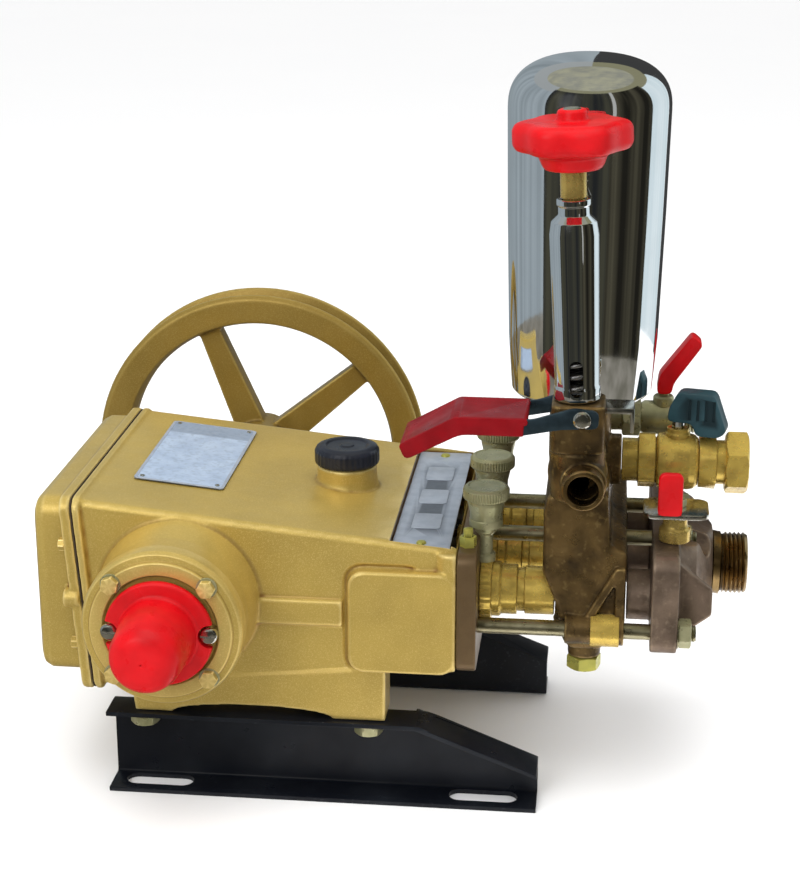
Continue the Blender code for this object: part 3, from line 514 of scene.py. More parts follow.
def black_enamel(name):
    """Dipped black enamel on sheet steel, chipped to grey along its edges."""
    p = Paint(name, (0.012, 0.015, 0.02), 0.0, 0.3)
    tone = p.mix(p.span(p.noise(45, 4), 0.4, 0.7), (0.004, 0.005, 0.008), (0.010, 0.012, 0.016))
    chips = p.times(p.edges(0.55, 0.62), p.span(p.noise(2.2, 5), 0.60, 0.68, 0.0, 0.5))
    p.colour(p.mix(chips, tone, (0.10, 0.11, 0.12)))
    p.rough(p.span(p.noise(17, 5), 0.3, 0.7, 0.26, 0.42))
    p.bump(p.noise(1.8, 2), 0.05, 0.5)
    p.shader.inputs["Specular IOR Level"].default_value = 0.22
    return p.mat


def plate_metal(name):
    """A printed aluminium plate: a faint heading band along its far edge and no lettering."""
    p = Paint(name, (0.42, 0.52, 0.68), 0.3, 0.34)
    place = p.node("ShaderNodeSeparateXYZ")
    p.plug(p.node("ShaderNodeTexCoord").outputs["UV"], place.inputs[0])
    tone = p.mix(p.span(p.noise(9, 5), 0.35, 0.7), (0.42, 0.51, 0.64), (0.33, 0.41, 0.54))
    tone = p.mix(p.span(p.noise(2.6, 4), 0.50, 0.66, 0.0, 0.55), tone, (0.26, 0.32, 0.40))
    p.colour(p.mix(p.span(place.outputs["Y"], 0.80, 0.82, 0.0, 0.6), tone, (0.17, 0.21, 0.27)))
    p.rough(p.span(p.noise(3, 4), 0.3, 0.7, 0.28, 0.44))
    p.bump(p.noise(0.35, 1, (1, 0.03, 1)), 0.02, 0.6)
    return p.mat


GOLD = metallic_paint("gold_paint", (0.55, 0.385, 0.085), (0.24, 0.12, 0.02), (1.0, 0.80, 0.34), 0.4)
# painted shade: a dark copy of the gold paint for the front plate, where the case's front end stands in shade
SHADED_GOLD = metallic_paint("front_plate_shade_paint", (0.105, 0.064, 0.028), (0.03, 0.016, 0.007),
                           (0.17, 0.11, 0.05))
PULLEY = metallic_paint("pulley_paint", (0.30, 0.195, 0.038), (0.08, 0.045, 0.01), (0.60, 0.45, 0.14))
BRONZE = cast_metal("cast_bronze", (0.048, 0.030, 0.012), (0.185, 0.115, 0.040), (0.62, 0.43, 0.16), 0.34)
MAUVE = cast_metal("suction_bronze", (0.13, 0.092, 0.066), (0.25, 0.18, 0.13), (0.52, 0.40, 0.28))
THREAD = turned_metal("thread_bronze", (0.36, 0.24, 0.10), (0.20, 0.12, 0.05), 0.3)
BRASS = turned_metal("brass_x", (0.72, 0.51, 0.11), (0.46, 0.31, 0.07), 0.24, "X", 0.7)
BRASS_Z = turned_metal("brass_z", (0.60, 0.43, 0.12), (0.40, 0.28, 0.08), 0.26, "Z", 0.75)
YELLOW = turned_metal("yellow_passivated", (0.58, 0.54, 0.12), (0.38, 0.38, 0.09), 0.3, "Z", 0.7)
OLIVE = turned_metal("olive_plate", (0.42, 0.40, 0.23), (0.27, 0.27, 0.13), 0.3, "Z", 0.65)
ZINC = turned_metal("zinc_plate", (0.42, 0.38, 0.24), (0.26, 0.23, 0.13), 0.3)
NICKEL = turned_metal("nickel_plate", (0.66, 0.65, 0.60), (0.48, 0.46, 0.40), 0.2, "Y")
STEEL = turned_metal("bright_steel", (0.56, 0.56, 0.57), (0.40, 0.39, 0.38), 0.28, "Y")
BLUED = turned_metal("blued_steel", (0.05, 0.08, 0.10), (0.025, 0.04, 0.05), 0.34, "Y", 0.85)
CHROME = chrome("chrome_plate")
SHEET = turned_metal("stainless_sheet", (0.36, 0.40, 0.46), (0.27, 0.31, 0.37), 0.36, "Y", 0.35)
RED = moulded("red_plastic", (0.50, 0.004, 0.007), (0.38, 0.003, 0.005), 0.3, 0.0, 0.14)
DIPPED = moulded("red_dip", (0.19, 0.001, 0.004), (0.14, 0.001, 0.003), 0.3, 0.0, 0.12)
TEAL = moulded("teal_plastic", (0.022, 0.062, 0.075), (0.014, 0.042, 0.052), 0.4)
BLACK = moulded("black_plastic", (0.012, 0.014, 0.022), (0.008, 0.009, 0.013), 0.3, 0.2)
RUBBER = moulded("seal_rubber", (0.02, 0.02, 0.02), (0.012, 0.012, 0.012), 0.65, 0.0)
FIBRE = moulded("gasket_fibre", (0.05, 0.032, 0.02), (0.03, 0.02, 0.012), 0.8, 0.0)
ENAMEL = black_enamel("black_enamel")
PLATE = plate_metal("printed_plate")


# ---------------------------------------------------------------- crankcase


def case_top(x):
    share = (x - CASE_REAR) / (CASE_FRONT - CASE_REAR)
    return CASE_TOP[0] + share * (CASE_TOP[1] - CASE_TOP[0])


def case_bottom(x):
    share = (x - CASE_REAR) / (CASE_FRONT - CASE_REAR)
    return CASE_BOTTOM[0] + share * (CASE_BOTTOM[1] - CASE_BOTTOM[0])


def rear_shift(z):
    return REAR_LEAN * (AXIS_Z - z)


def leaned(obj):
    """Leans an upright rear piece back to the joint's slope."""
    for vertex in obj.data.vertices:
        vertex.co.x += rear_shift(vertex.co.z / MM) * MM
    return obj


def case_side(start, end, inset):
    low, high = case_bottom(start) + inset, case_top(start) - inset
    front = [(end, case_bottom(end) + inset), (end, case_top(end) - inset)]
    return [(start + rear_shift(low), low)] + front + [(start + rear_shift(high), high)]


def case_wall(side):
    """What stands on one side wall: the boss, the foot, the raised block and the rib."""
    out, radius = (112.0, 39.0) if side < 0 else (100.0, 34.0)
    blend = [(72, radius + 3.5), (80, radius + 3), (84, radius + 2), (92, radius + 0.8), (98, radius)]
    profile = [(70, 0)] + blend + [(out, radius), (out, 0)]
    profile = [(side * station, size) for station, size in profile]
    boss = lathe("boss", "Y", (0, 0, AXIS_Z), profile, 96, 1.0)
    turns = [math.pi * k / 20 for k in range(21)]
    arch = [(36 - 42 * math.cos(turn), 46.3 + 5.5 * math.sin(turn)) for turn in turns]
    outline = [(-28, 70), (-26, 46.3)] + arch + [(105.5, 46.3), (105.5, 84)]
    foot = extrude("foot", "Y", outline, side * 56, side * 78.6, 1.2)
    raised = extrude("raised", "Y", rounded(87, 141.5, 76, 131, 8), side * 70, side * 84.4, 1.2)
    rib = block("rib", (26, min(side * 70, side * 82.2), 100), (92, max(side * 70, side * 82.2), 113.5), 0.8)
    return boss, foot, raised, rib


def case_spaces():
    """The machined bores and the hollows inside the casting."""
    cuts = [extrude("crank_space", "Y", case_side(-60, 40, 6), -74, 74, 0)]
    for y in PLUNGER_YS:
        mid = (0, y, AXIS_Z)
        cuts.append(rod("guide_bore", "X", mid, 20.6, 38, 104))
        cuts.append(rod("rod_hole", "X", mid, 8.8, 102, 112.5, 24))
        cuts.append(rod("spigot_hole", "X", mid, 15.6, 138, 156))
    cuts.append(block("drip_space", (110.5, -74, 87), (141, 74, 170), 0))
    cuts.append(block("cover_seat", (107.6, -77.2, 140.6), (138.4, 77.2, 170), 0))
    cuts.append(block("drip_drain", (118, -20, 60), (134, 20, 100), 0))
    cuts.append(rod("filler_hole", "Z", (76, 0, 0), 11.6, 134, 180))
    cuts.append(block("filler_channel", (35, -11, 134), (86, 11, 140.5), 0))
    for side, seat in ((-1, 92), (1, 83)):
        mid = (0, 0, AXIS_Z)
        cuts.append(rod("seat", "Y", mid, 26.2, side * seat, side * 130, 64))
        cuts.append(rod("throat", "Y", mid, 24.0, side * 60, side * 94))
    return cuts


def make_crankcase():
    case = extrude("crankcase_casting", "Y", case_side(-48, CASE_FRONT - 10.3, 0), -CASE_HALF, CASE_HALF, 3.0)
    flange = leaned(extrude("flange", "X", rounded(-83, 83, 57.5, 163, 7), CASE_REAR, -46.2, 0.6))
    front = extrude("front", "Z", rounded(130, 151.7, -83.4, 83.4, 9), 77.7, 141.0, 1.0)
    trim = block("trim", (141.7, -90, 60), (160, 90, 170), 0)
    profile = [(128, 0), (128, 20), (136, 19), (144, 17.7), (150, 16.6), (153, 16), (160, 16), (160, 0)]
    filler = lathe("filler", "Z", (76, 0, 0), profile, 72, 0.8)
    join(case, flange, front, filler, *case_wall(-1), *case_wall(1))
    groove = extrude("groove", "Y", rounded(84.0, 126, 73, 134, 10), -78.7, -88, 0)
    carve(groove, extrude("island", "Y", rounded(86.9, 160, 75.8, 131.2, 8), -70, -95, 0))
    carve(case, trim, groove)
    cast(case, 0.9, 4, 0.2)
    carve(case, *case_spaces())
    put(case, GOLD, ["crankcase"], sharp=CAST_SHARP)


def make_front_plate():
    """The flange that the cylinders sit in, its dark brown a painted shade of the case's front end."""
    plate = extrude("front_plate", "X", rounded(-83.8, 83.8, 77.6, 141.2, 6), 142.0, 151.9, 0.9, 3)
    cuts = [rod("spigot", "X", (0, y, AXIS_Z), 15.5, 138, 158) for y in PLUNGER_YS]
    carve(plate, *cuts)
    put(plate, SHADED_GOLD)


def make_rear_cover():
    outline = rounded(-83, 83, 57.5, 163, 7)
    plate = leaned(extrude("rear_cover_casting", "X", outline, -56.5, -51.1, 0.6))
    points = []
    for x, inset in ((-76, 5.5), (-74.4, 1.9), (-70.5, 0)):
        outline = rounded(-77 + inset, 77 - inset, 65 + inset, 160.5 - inset, 9 - inset / 2)
        points += [(x, y, z) for y, z in outline]
    points += [(-54 + rear_shift(z), y, z) for y, z in rounded(-77, 77, 65, 160.5, 9)]
    lugs = []
    for y in (-80, 80):
        shift = rear_shift(109)
        lugs.append(rod("lug", "X", (0, y, 109), 5.0, shift - 60, shift - 52))
    join(plate, hull("lid", points), *lugs)
    carve(plate, extrude("hollow", "X", rounded(-71, 71, 71, 153, 8), -72, -40, 0))
    cast(plate, 0.9, 3, 0.35)
    put(plate, GOLD, ["rear_cover"], sharp=CAST_SHARP)
    for number, (y, z) in enumerate(((-60, 61.2), (60, 61.2), (-80, 84), (80, 84), (-80, 138), (80, 138))):
        at = rear_shift(z)
        bolt = nut("cover_bolt_%d" % number, "X", (0, y, z), 3.4, at - 56, at - 59.4, 15 * number)
        put(bolt, GOLD)


def make_oil_cap():
    profile = [(149, 0), (149, 10.6), (160.4, 10.6), (160.4, 16.6), (161.5, 17.4), (167.6, 17.4)]
    profile += [(169.6, 16.2), (170.6, 13.5), (170.6, 11.5), (169.7, 10.6), (169.7, 4.0)]
    profile += [(170.3, 3.2), (170.3, 0)]
    cap = lathe("oil_cap_moulding", "Z", (76, 0, 160), profile, 144, 0.6, fluted(36, 0.35, 17.0))
    put(cap, BLACK, ["oil_filler_cap"], "oil_cap")
    profile = [(159.2, 11.8), (159.2, 14.6), (160.5, 14.6), (160.5, 11.8)]
    washer = lathe("oil_cap_seal", "Z", (76, 0, 0), profile)
    put(washer, RUBBER, body="oil_cap")


def make_nameplate():
    """A blank plate with a raised border and rivets."""
    plate = extrude("plate_sheet", "Z", rounded(-24, 24, -50, 50, 2.5), 0.3, 0.85, 0.15, 1)
    layer = plate.data.uv_layers.new(name="plate")
    for loop in plate.data.loops:
        point = (plate.data.vertices[loop.vertex_index].co - ORIGIN) / MM
        layer.data[loop.index].uv = ((point.x + 24) / 48, (point.y + 50) / 100)
    border = extrude("border", "Z", rounded(-24, 24, -50, 50, 2.5), 0.3, 1.0, 0.1, 1)
    carve(border, extrude("inside", "Z", rounded(-22.4, 22.4, -48.4, 48.4, 1.6), -1, 3, 0))
    rivets = []
    for k in range(4):
        at = (20 * (-1) ** k, 46 * (-1) ** (k // 2), 0)
        rivets.append(rod("plate_rivet_%d" % k, "Z", at, 1.3, 0.5, 1.5, 24, 0.4))
    slope = Matrix.Rotation(math.atan2(CASE_TOP[0] - CASE_TOP[1], CASE_FRONT - CASE_REAR), 4, "Y")
    place = ORIGIN + Vector((-8, 11, case_top(-8))) * MM
    home = Matrix.Translation(place) @ slope @ Matrix.Translation(-ORIGIN)
    border.name = "plate_border"
    for obj, look in [(plate, PLATE), (border, SHEET)] + [(rivet, NICKEL) for rivet in rivets]:
        obj.data.transform(home)
        put(obj, look, ["nameplate"] if obj is plate else ())


def make_splash_cover():
    """A stainless sheet over the plunger space, with three pressed panels."""
    sheet = extrude("splash_sheet", "Z", rounded(108.2, 137.8, -76.6, 76.6, 1.5), 141.0, 142.3, 0.35)
    pads = []
    for y in (-38.0, 0.0, 38.0):
        pads.append(extrude("pad", "Z", rounded(115.5, 130.5, y - 11, y + 11, 2), 141.5, 142.75, 0.3))
    join(sheet, *pads)
    put(sheet, SHEET, ["splash_cover"])
    for number, y in enumerate((-70, 70)):
        profile = [(142, 0), (142, 2.8), (143.4, 2.2), (143.8, 0)]
        screw = lathe("splash_screw_%d" % number, "Z", (123, y, 0), profile, 32)
        put(screw, YELLOW)


# ---------------------------------------------------------------- crank end


def make_bearing_covers():
    mid = (0, 0, AXIS_Z)
    profile = [(-112.3, 14), (-121.5, 14), (-121.5, 28.2), (-123.8, 29.2), (-123.8, 35.4), (-122.2, 35.9)]
    profile += [(-121.8, 39.2), (-119.5, 40.5), (-112.3, 40.7), (-112.3, 25.4), (-108.5, 25.4), (-108.5, 14)]
    near = lathe("bearing_cap", "Y", mid, profile, 128, 0.6)
    put(near, GOLD, ["bearing_cover_near"])
    for k in range(4):
        angle = math.radians(45 + 90 * k)
        at = (33.6 * math.cos(angle), 0, AXIS_Z + 33.6 * math.sin(angle))
        profile = [(-122.6, 0), (-122.6, 5.2), (-124, 5.2), (-124, 0)]
        washer = lathe("cap_washer_%d" % k, "Y", at, profile, 40, 0.3)
        put(washer, OLIVE)
        bolt = nut("cap_bolt_%d" % k, "Y", at, 4.6, -124, -127.4, 20 * k)
        put(bolt, GOLD)
    for k in (-1, 1):
        profile = [(-121, 0), (-121, 4.4), (-127.4, 4.4), (-128.6, 3.4), (-129, 0)]
        x = 24.8 * k
        screw = lathe("guard_screw_%d" % (k + 1), "Y", (x, 0, AXIS_Z), profile, 40, 0.5)
        carve(screw, block("slot", (x - 5, -131, AXIS_Z - 0.5), (x + 5, -127.9, AXIS_Z + 0.5), 0))
        put(screw, NICKEL)
    profile = [(100.3, 25.4), (100.3, 33), (107, 33), (109, 31), (109, 17.3), (101, 17.3), (101, 14)]
    far = lathe("far_bearing_cap", "Y", mid, profile + [(99.2, 14), (99.2, 25.4)], 96, 0.6)
    put(far, GOLD, ["bearing_cover_far"])
    profile = [(102, 12.8), (102, 17), (108, 17), (108.6, 15.5), (107, 13.2)]
    seal = lathe("lip_seal", "Y", mid, profile, 64, 0.3)
    put(seal, RUBBER, ["shaft_seal"])


def make_guard():
    profile = [(-124.3, 27.2), (-127.6, 27.2), (-128.6, 26.2), (-128.6, 20.6), (-130, 19.2), (-155, 17.7)]
    profile += [(-160, 16.4), (-163.6, 13.2), (-164.9, 9), (-164.9, 0), (-161.5, 0), (-161.5, 10)]
    profile += [(-157, 13.8), (-153, 14.5), (-124.3, 14.5)]
    guard = lathe("guard_moulding", "Y", (0, 0, AXIS_Z), profile, 128, 1.6)
    carve(guard, *[rod("notch", "Y", (25.8 * k, 0, AXIS_Z), 6.0, -132, -120) for k in (-1, 1)])
    put(guard, RED, ["shaft_guard"])


def make_pulley():
    mid = (0, PULLEY_Y, AXIS_Z)
    near, far = PULLEY_Y - 13, PULLEY_Y + 13
    profile = [(near, 84.5), (near, 99), (near + 2.5, 101.4), (near + 4.2, 101.4), (near + 8.5, 88.5)]
    profile += [(far - 8.5, 88.5), (far - 4.2, 101.4), (far - 2.5, 101.4), (far, 99), (far, 84.5)]
    profile += [(PULLEY_Y + 5, 82.3), (PULLEY_Y - 5, 82.3)]
    wheel = lathe("pulley_casting", "Y", mid, profile, 160, 1.2)
    hub = lathe("hub", "Y", mid, [(near - 1, 0), (near - 1, 20), (far + 1, 20), (far + 1, 0)], 64, 1.5)
    spokes = []
    for k in range(5):
        outline = rounded_corners([(14, -9.5), (84, -6.5), (84, 6.5), (14, 9.5)], 0.5, True)
        spoke = extrude("spoke", "Y", outline, 158.5, 170.5, 3.2, 3, 50)
        turn = Matrix.Rotation(-math.radians(40 + 72 * k), 4, "Y")
        shift = Matrix.Translation(ORIGIN + Vector((0, 0, AXIS_Z)) * MM)
        spoke.data.transform(shift @ turn @ Matrix.Translation(-ORIGIN))
        spokes.append(spoke)
    join(wheel, hub, *spokes)
    keyway = block("keyway", (-3.5, 140, AXIS_Z), (3.5, 190, AXIS_Z + 13.6), 0)
    carve(wheel, rod("bore", "Y", mid, 11.5, near - 5, far + 5), keyway)
    cast(wheel, 0.9, 3, 0.4)
    put(wheel, PULLEY, ["pulley"], "crank", sharp=CAST_SHARP)
    profile = [(174, 0), (174, 10.6), (177.2, 10.6), (178, 9.4), (178, 0)]
    end = lathe("shaft_end", "Y", (0, 0, AXIS_Z), profile)
    put(end, STEEL, body="crank")


# ---------------------------------------------------------------- pump head


def stud_at(line, side):
    """Where a tie stud's axis passes, on the near side (-1) or the far side (1)."""
    return (0, side * line[0], line[1])


def make_cylinder(number):
    y = PLUNGER_YS[number - 1]
    mid = (0, y, AXIS_Z)
    profile = [(136, 8.6), (136, 14.8), (152.2, 14.8), (152.2, 16.6), (158, 16.6), (158, 14.2), (162, 14.2)]
    profile += [(163, 12.9), (171, 12.9), (171, 11.2), (175, 11.2), (175, 12.4), (190, 12.4), (190, 8.6)]
    body = lathe("cylinder_body_%d" % number, "X", mid, profile, 96, 0.5, fluted(28, 0.55, 16.0))
    put(body, BRASS, ["cylinder_%d" % number])
    at = (154.2, y, 0)
    profile = [(127, 0), (127, 5.2), (131, 5.2), (132, 3.8), (141.5, 3.8), (143, 5.4), (146, 5.8), (146, 8.6)]
    profile += [(150, 8.6), (151, 7.8), (158.4, 9.5), (160.3, 9.5), (160.3, 8.4), (149.5, 8.4), (149.5, 0)]
    cup = lathe("grease_cup_body_%d" % number, "Z", at, profile, 72, 0.4)
    put(cup, OLIVE)
    profile = [(152, 0), (152, 7.9), (160.8, 7.9), (160.8, 11.2), (161.6, 11.9), (165.9, 11.9), (167.2, 10.6)]
    profile += [(167.5, 9.4), (167.2, 8.6), (167.2, 0)]
    cap = lathe("grease_cap_cover_%d" % number, "Z", at, profile, 144, 0.3, fluted(48, 0.4, 11.5))
    put(cap, OLIVE, ["grease_cup_cap_%d" % number], "grease_cap_%d" % number)


def make_manifold():
    """The delivery manifold: a chest with a column for each cylinder under a round gallery."""
    outline = [(184, 127), (191, 110), (195, 90), (199, 86), (214, 86), (226.2, 98)]
    outline += [(226.2, 139), (218, 142), (216, 169), (186, 169), (184, 160)]
    body = extrude("manifold_casting", "Y", outline, -66, 66, 2.5)
    gallery = [(-55, 0), (-55, 15), (-50, 15), (-48, 14), (56, 14), (58, 12), (58, 0)]
    parts = [lathe("gallery", "Y", (HEAD_X, 0, GALLERY_Z), gallery, 64, 0.8)]
    parts.append(rod("chamber_neck", "Z", (HEAD_X, 0, 0), 16.2, 168, 197, 64))
    parts.append(rod("branch", "X", (0, 0, OUTLET_Z), 13.4, 200, 222, 48))
    parts.append(rod("drain_boss", "Z", (206, -50, 0), 8.4, 77.6, 100, 40))
    for y in PLUNGER_YS:
        column = [(92, 0), (92, 12), (104, 14.5), (140, 14.5), (160, 12.5), (172, 12.5), (172, 0)]
        parts.append(lathe("column", "Z", (203, y * 1.06, 0), column, 48, 1.5))
    for side in (-1, 1):
        parts.append(rod("stud_boss", "X", stud_at(STUDS_LOW, side), 7.6, 196, 225.8, 40))
    upright = [(221, 100), (225.8, 100), (225.8, 132), (221, 132)]
    slanting = [(203, 100), (207, 98), (224, 129), (221, 132)]
    parts += [extrude("front_rib", "Y", outline, -69, -64, 0.8) for outline in (upright, slanting)]
    join(body, *parts)
    cuts = [rod("gallery_bore", "Y", (HEAD_X, 0, GALLERY_Z), 9.0, -60, 50)]
    cuts.append(rod("collar_pocket", "Y", (HEAD_X, 0, GALLERY_Z), 13.4, -75, -54.8, 40))
    cuts.append(rod("neck_bore", "Z", (HEAD_X, 0, 0), 8.9, 178, 205, 40))
    cuts.append(rod("branch_bore", "X", (0, 0, OUTLET_Z), 8.0, 200, 230))
    cuts.append(rod("drain_bore", "Z", (206, -50, 0), 5.4, 70, 108))
    for y in PLUNGER_YS:
        cuts.append(rod("socket", "X", (0, y, AXIS_Z), 13.1, 178, 190.6, 48))
        cuts.append(rod("pump_bore", "X", (0, y, AXIS_Z), 9.6, 188, 230))
    for side in (-1, 1):
        cuts.append(rod("low_run", "X", stud_at(STUDS_LOW, side), 4.9, 180, 230))
        cuts.append(rod("top_run", "X", stud_at(STUDS_TOP, side), 4.9, 180, 230))
    carve(body, *cuts)
    cast(body, 0.65, 3, 0.35)
    put(body, BRONZE, ["delivery_manifold"], sharp=CAST_SHARP)
    profile = nut_profile(77.2, 70.0, 9.0)
    plug = lathe("drain_plug_head", "Z", (206, -50, 0), profile, 72, 0, hexed(9.0, 15))
    join(plug, rod("plug_shank", "Z", (206, -50, 0), 5.0, 76, 89))
    put(plug, YELLOW, ["drain_plug"])


def make_brass_fittings():
    """The sleeve on the near stud's boss and the plug on the front plate's near corner."""
    profile = [(209, 7.0), (209, 8.4), (223.5, 8.4), (223.5, 7.0)]
    sleeve = lathe("stud_boss_sleeve", "X", stud_at(STUDS_LOW, -1), profile, 64, 0.4)
    put(sleeve, BRASS)
    plug = nut("front_plug_hex", "Z", (146.5, -68, 0), 4.4, 140.6, 146.5, 15)
    join(plug, lathe("neck", "Z", (146.5, -68, 0), [(146, 0), (146, 2.6), (150.4, 2.4), (151.2, 0)], 32, 0.2))
    put(plug, YELLOW)


def make_suction_housing():
    plate = extrude("suction_casting", "X", rounded(-75, 75, 87.5, 140, 8), 239, 252.6, 1.0)
    wide = [(251.5, y, z) for y, z in rounded(-60, 60, 89, 138.4, 16)]
    wide += [(262, y, z) for y, z in rounded(-50, 50, 91, 135, 16)]
    parts = [hull("dome", wide + ring(20, 271.5, AXIS_Z))]
    parts += [rod("sleeve", "X", (0, y, AXIS_Z), 13.0, 226.8, 241) for y in PLUNGER_YS]
    rib = [(252, 132), (270, 118), (270, 104), (252, 90)]
    parts.append(extrude("rib", "Y", rib, -57.5, -52.5, 1.0))
    join(plate, *parts)
    plenum = [(246.5, y, z) for y, z in rounded(-53, 53, 94, 121, 12)]
    cuts = [hull("plenum", plenum + ring(13, 268, AXIS_Z))]
    cuts.append(rod("port_bore", "X", (0, 0, AXIS_Z), 12.5, 262, 295))
    cuts += [rod("valve_bore", "X", (0, y, AXIS_Z), 9.0, 220, 249) for y in PLUNGER_YS]
    for side in (-1, 1):
        cuts.append(rod("low_hole", "X", stud_at(STUDS_LOW, side), 4.9, 230, 262))
        cuts.append(rod("top_hole", "X", stud_at(STUDS_TOP, side), 4.9, 230, 262))
        cuts.append(rod("nut_pocket", "X", stud_at(STUDS_TOP, side), 8.6, 252.7, 275))
    carve(plate, *cuts)
    cast(plate, 0.65, 3, 0.35)
    put(plate, MAUVE, ["suction_housing"], sharp=CAST_SHARP)
    run = thread_run(277.5, 288.6, 16.4, 2.3)
    profile = [(271.8, 12.5), (271.8, 17.1), (272.2, 17.4), (275.6, 17.4), (276, 17.0), (276.4, 15.2)]
    profile += [(277.4, 15.2)] + run + [(289.8, 15.2), (290, 14.8), (290, 12.5)]
    thread = lathe("suction_thread", "X", (0, 0, AXIS_Z), profile, 96, 0, threaded(2.3, 1.3, 16.0))
    put(thread, THREAD, ["suction_nipple"])


def make_studs():
    lines = (("low_near", STUDS_LOW, -1), ("low_far", STUDS_LOW, 1))
    lines += (("top_near", STUDS_TOP, -1), ("top_far", STUDS_TOP, 1))
    for name, line, side in lines:
        at = stud_at(line, side)
        run = thread_run(242, 261.4, 4.3, 1.25)
        profile = [(142, 0), (142, 4.3), (241.9, 4.3)] + run + [(262, 3.6), (262, 0)]
        stud = lathe("stud_" + name, "X", at, profile, 48, 0, threaded(1.25, 0.5, 4.2))
        put(stud, ZINC, ["tie_stud_" + name])
        end = nut("stud_nut_" + name, "X", at, 7.5, 253.2, 259.6, 10, 4.0)
        put(end, OLIVE)
        profile = [(252.7, 4.6), (252.7, 7.8), (253.3, 7.8), (253.3, 4.6)]
        washer = lathe("stud_washer_" + name, "X", at, profile, 48, 0.1)
        put(washer, ZINC)


def make_air_chamber():
    dome = []
    for k in range(24):
        angle = math.radians(90 * k / 24)
        dome.append((352 + 27 * math.sin(angle) ** 0.8, 41 * math.cos(angle) ** 0.8))
    outside = [(204, 30), (204.8, 34.2), (207, 36.3), (235, 38.4), (300, 40.1)] + dome + [(379, 0)]
    inside = [(204, 6.5), (206, 6.5), (207.5, 34), (235, 36.4), (300, 38.1), (352, 39), (377, 0)]
    shell = lathe("chamber_bottle", "Z", (HEAD_X, 0, 0), outside[::-1] + inside, 160, 0.5)
    put(shell, CHROME, ["air_chamber"], sharp=50)
    collar = nut("chamber_collar", "Z", (HEAD_X, 0, 0), 21.5, 197.4, 203.7, 12, 8.8)
    put(collar, NICKEL)
    profile = [(188, 6.6), (188, 8.4), (198, 8.4), (198, 6.6)]
    spigot = lathe("chamber_spigot", "Z", (HEAD_X, 0, 0), profile, 40, 0.2)
    put(spigot, NICKEL)


# ---------------------------------------------------------------- regulator


def make_regulator():
    mid = (HEAD_X, HEAD_Y, 0)
    profile = [(169.6, 0), (169.6, 9), (172, 13), (196, 14), (198, 12), (204, 12), (204, 0)]
    body = lathe("regulator_casting", "Z", mid, profile, 64, 0.8)
    line = (HEAD_X + 3.5, 0, 182)
    nipple = [(-86, 0), (-86, 11.3), (-70, 11.3), (-70, 0)]
    parts = [lathe("nipple", "Y", line, nipple, 64, 0.6)]
    parts.append(rod("neck", "Y", (HEAD_X, 0, GALLERY_Z), 8.6, -75, -50))
    parts.append(rod("collar", "Y", (HEAD_X, 0, GALLERY_Z), 13.0, -64, -55.3))
    parts.append(extrude("head", "Z", rounded(187, 213, -85.5, -58.5, 4), 197, 221, 1.0))
    join(body, *parts)
    cuts = [rod("overflow", "Y", line, 7.6, -100, -70), rod("seat", "Z", mid, 6.5, 180, 223)]
    cuts.append(rod("inlet", "Y", (HEAD_X, 0, GALLERY_Z), 6.0, -73, -40))
    cuts.append(rod("pivot", "Y", (PIVOT.x, 0, PIVOT.z), 3.4, -90, -50))
    carve(body, *cuts)
    cast(body, 0.5, 3, 0.35)
    put(body, BRONZE, ["regulator_body"], sharp=CAST_SHARP)
    rim = [(-96, 7.6), (-96, 9.6), (-95, 10.4), (-93.4, 10.4), (-92.6, 9.7), (-86.3, 10.2), (-86.3, 7.6)]
    rim = lathe("overflow_rim", "Y", line, rim, 64, 0.3)
    put(rim, THREAD, ["overflow_nipple"])
    folded = [(209, 216.6), (225, 216.6), (225, 207), (227, 207), (227, 219.4), (209, 219.4)]
    bracket = extrude("cam_bracket", "Y", folded, -80, -64, 0.5)
    put(bracket, NICKEL)
    profile = [(222, 9.6), (222, 11.3), (228, 11.3), (229, 10.8), (303, 11.9), (309, 11.0), (312.4, 7.5)]
    profile += [(316.5, 7.5), (317, 8.2), (319.6, 8.2), (320, 7.6), (320, 5.7), (309, 5.7), (306, 9.6)]
    sleeve = lathe("sleeve_tube", "Z", mid, profile, 96, 0.5)
    carve(sleeve, extrude("window", "Y", rounded(HEAD_X - 3.2, HEAD_X + 3.2, 225, 243, 3), -90, -76, 0))
    tilt(sleeve)
    put(sleeve, CHROME, ["regulator_sleeve"])


def make_spring():
    curve = bpy.data.curves.new("spring_line", "CURVE")
    curve.dimensions = "3D"
    turns, steps = 11, 20
    spline = curve.splines.new("POLY")
    spline.points.add(turns * steps)
    for k, point in enumerate(spline.points):
        angle = 2 * math.pi * k / steps
        across = 7.8 * math.cos(angle), 7.8 * math.sin(angle)
        at = Vector((HEAD_X + across[0], HEAD_Y + across[1], 224 + 64 * k / (turns * steps)))
        point.co = (*(at * MM + ORIGIN), 1.0)
    curve.bevel_depth = 1.25 * MM
    curve.bevel_resolution = 3
    curve.use_fill_caps = True
    helper = linked("spring_helper", curve)
    graph = bpy.context.evaluated_depsgraph_get()
    mesh = bpy.data.meshes.new_from_object(helper.evaluated_get(graph))
    bpy.data.objects.remove(helper)
    spring = linked("spring_coil", mesh)
    tilt(spring)
    put(spring, STEEL, ["regulator_spring"])


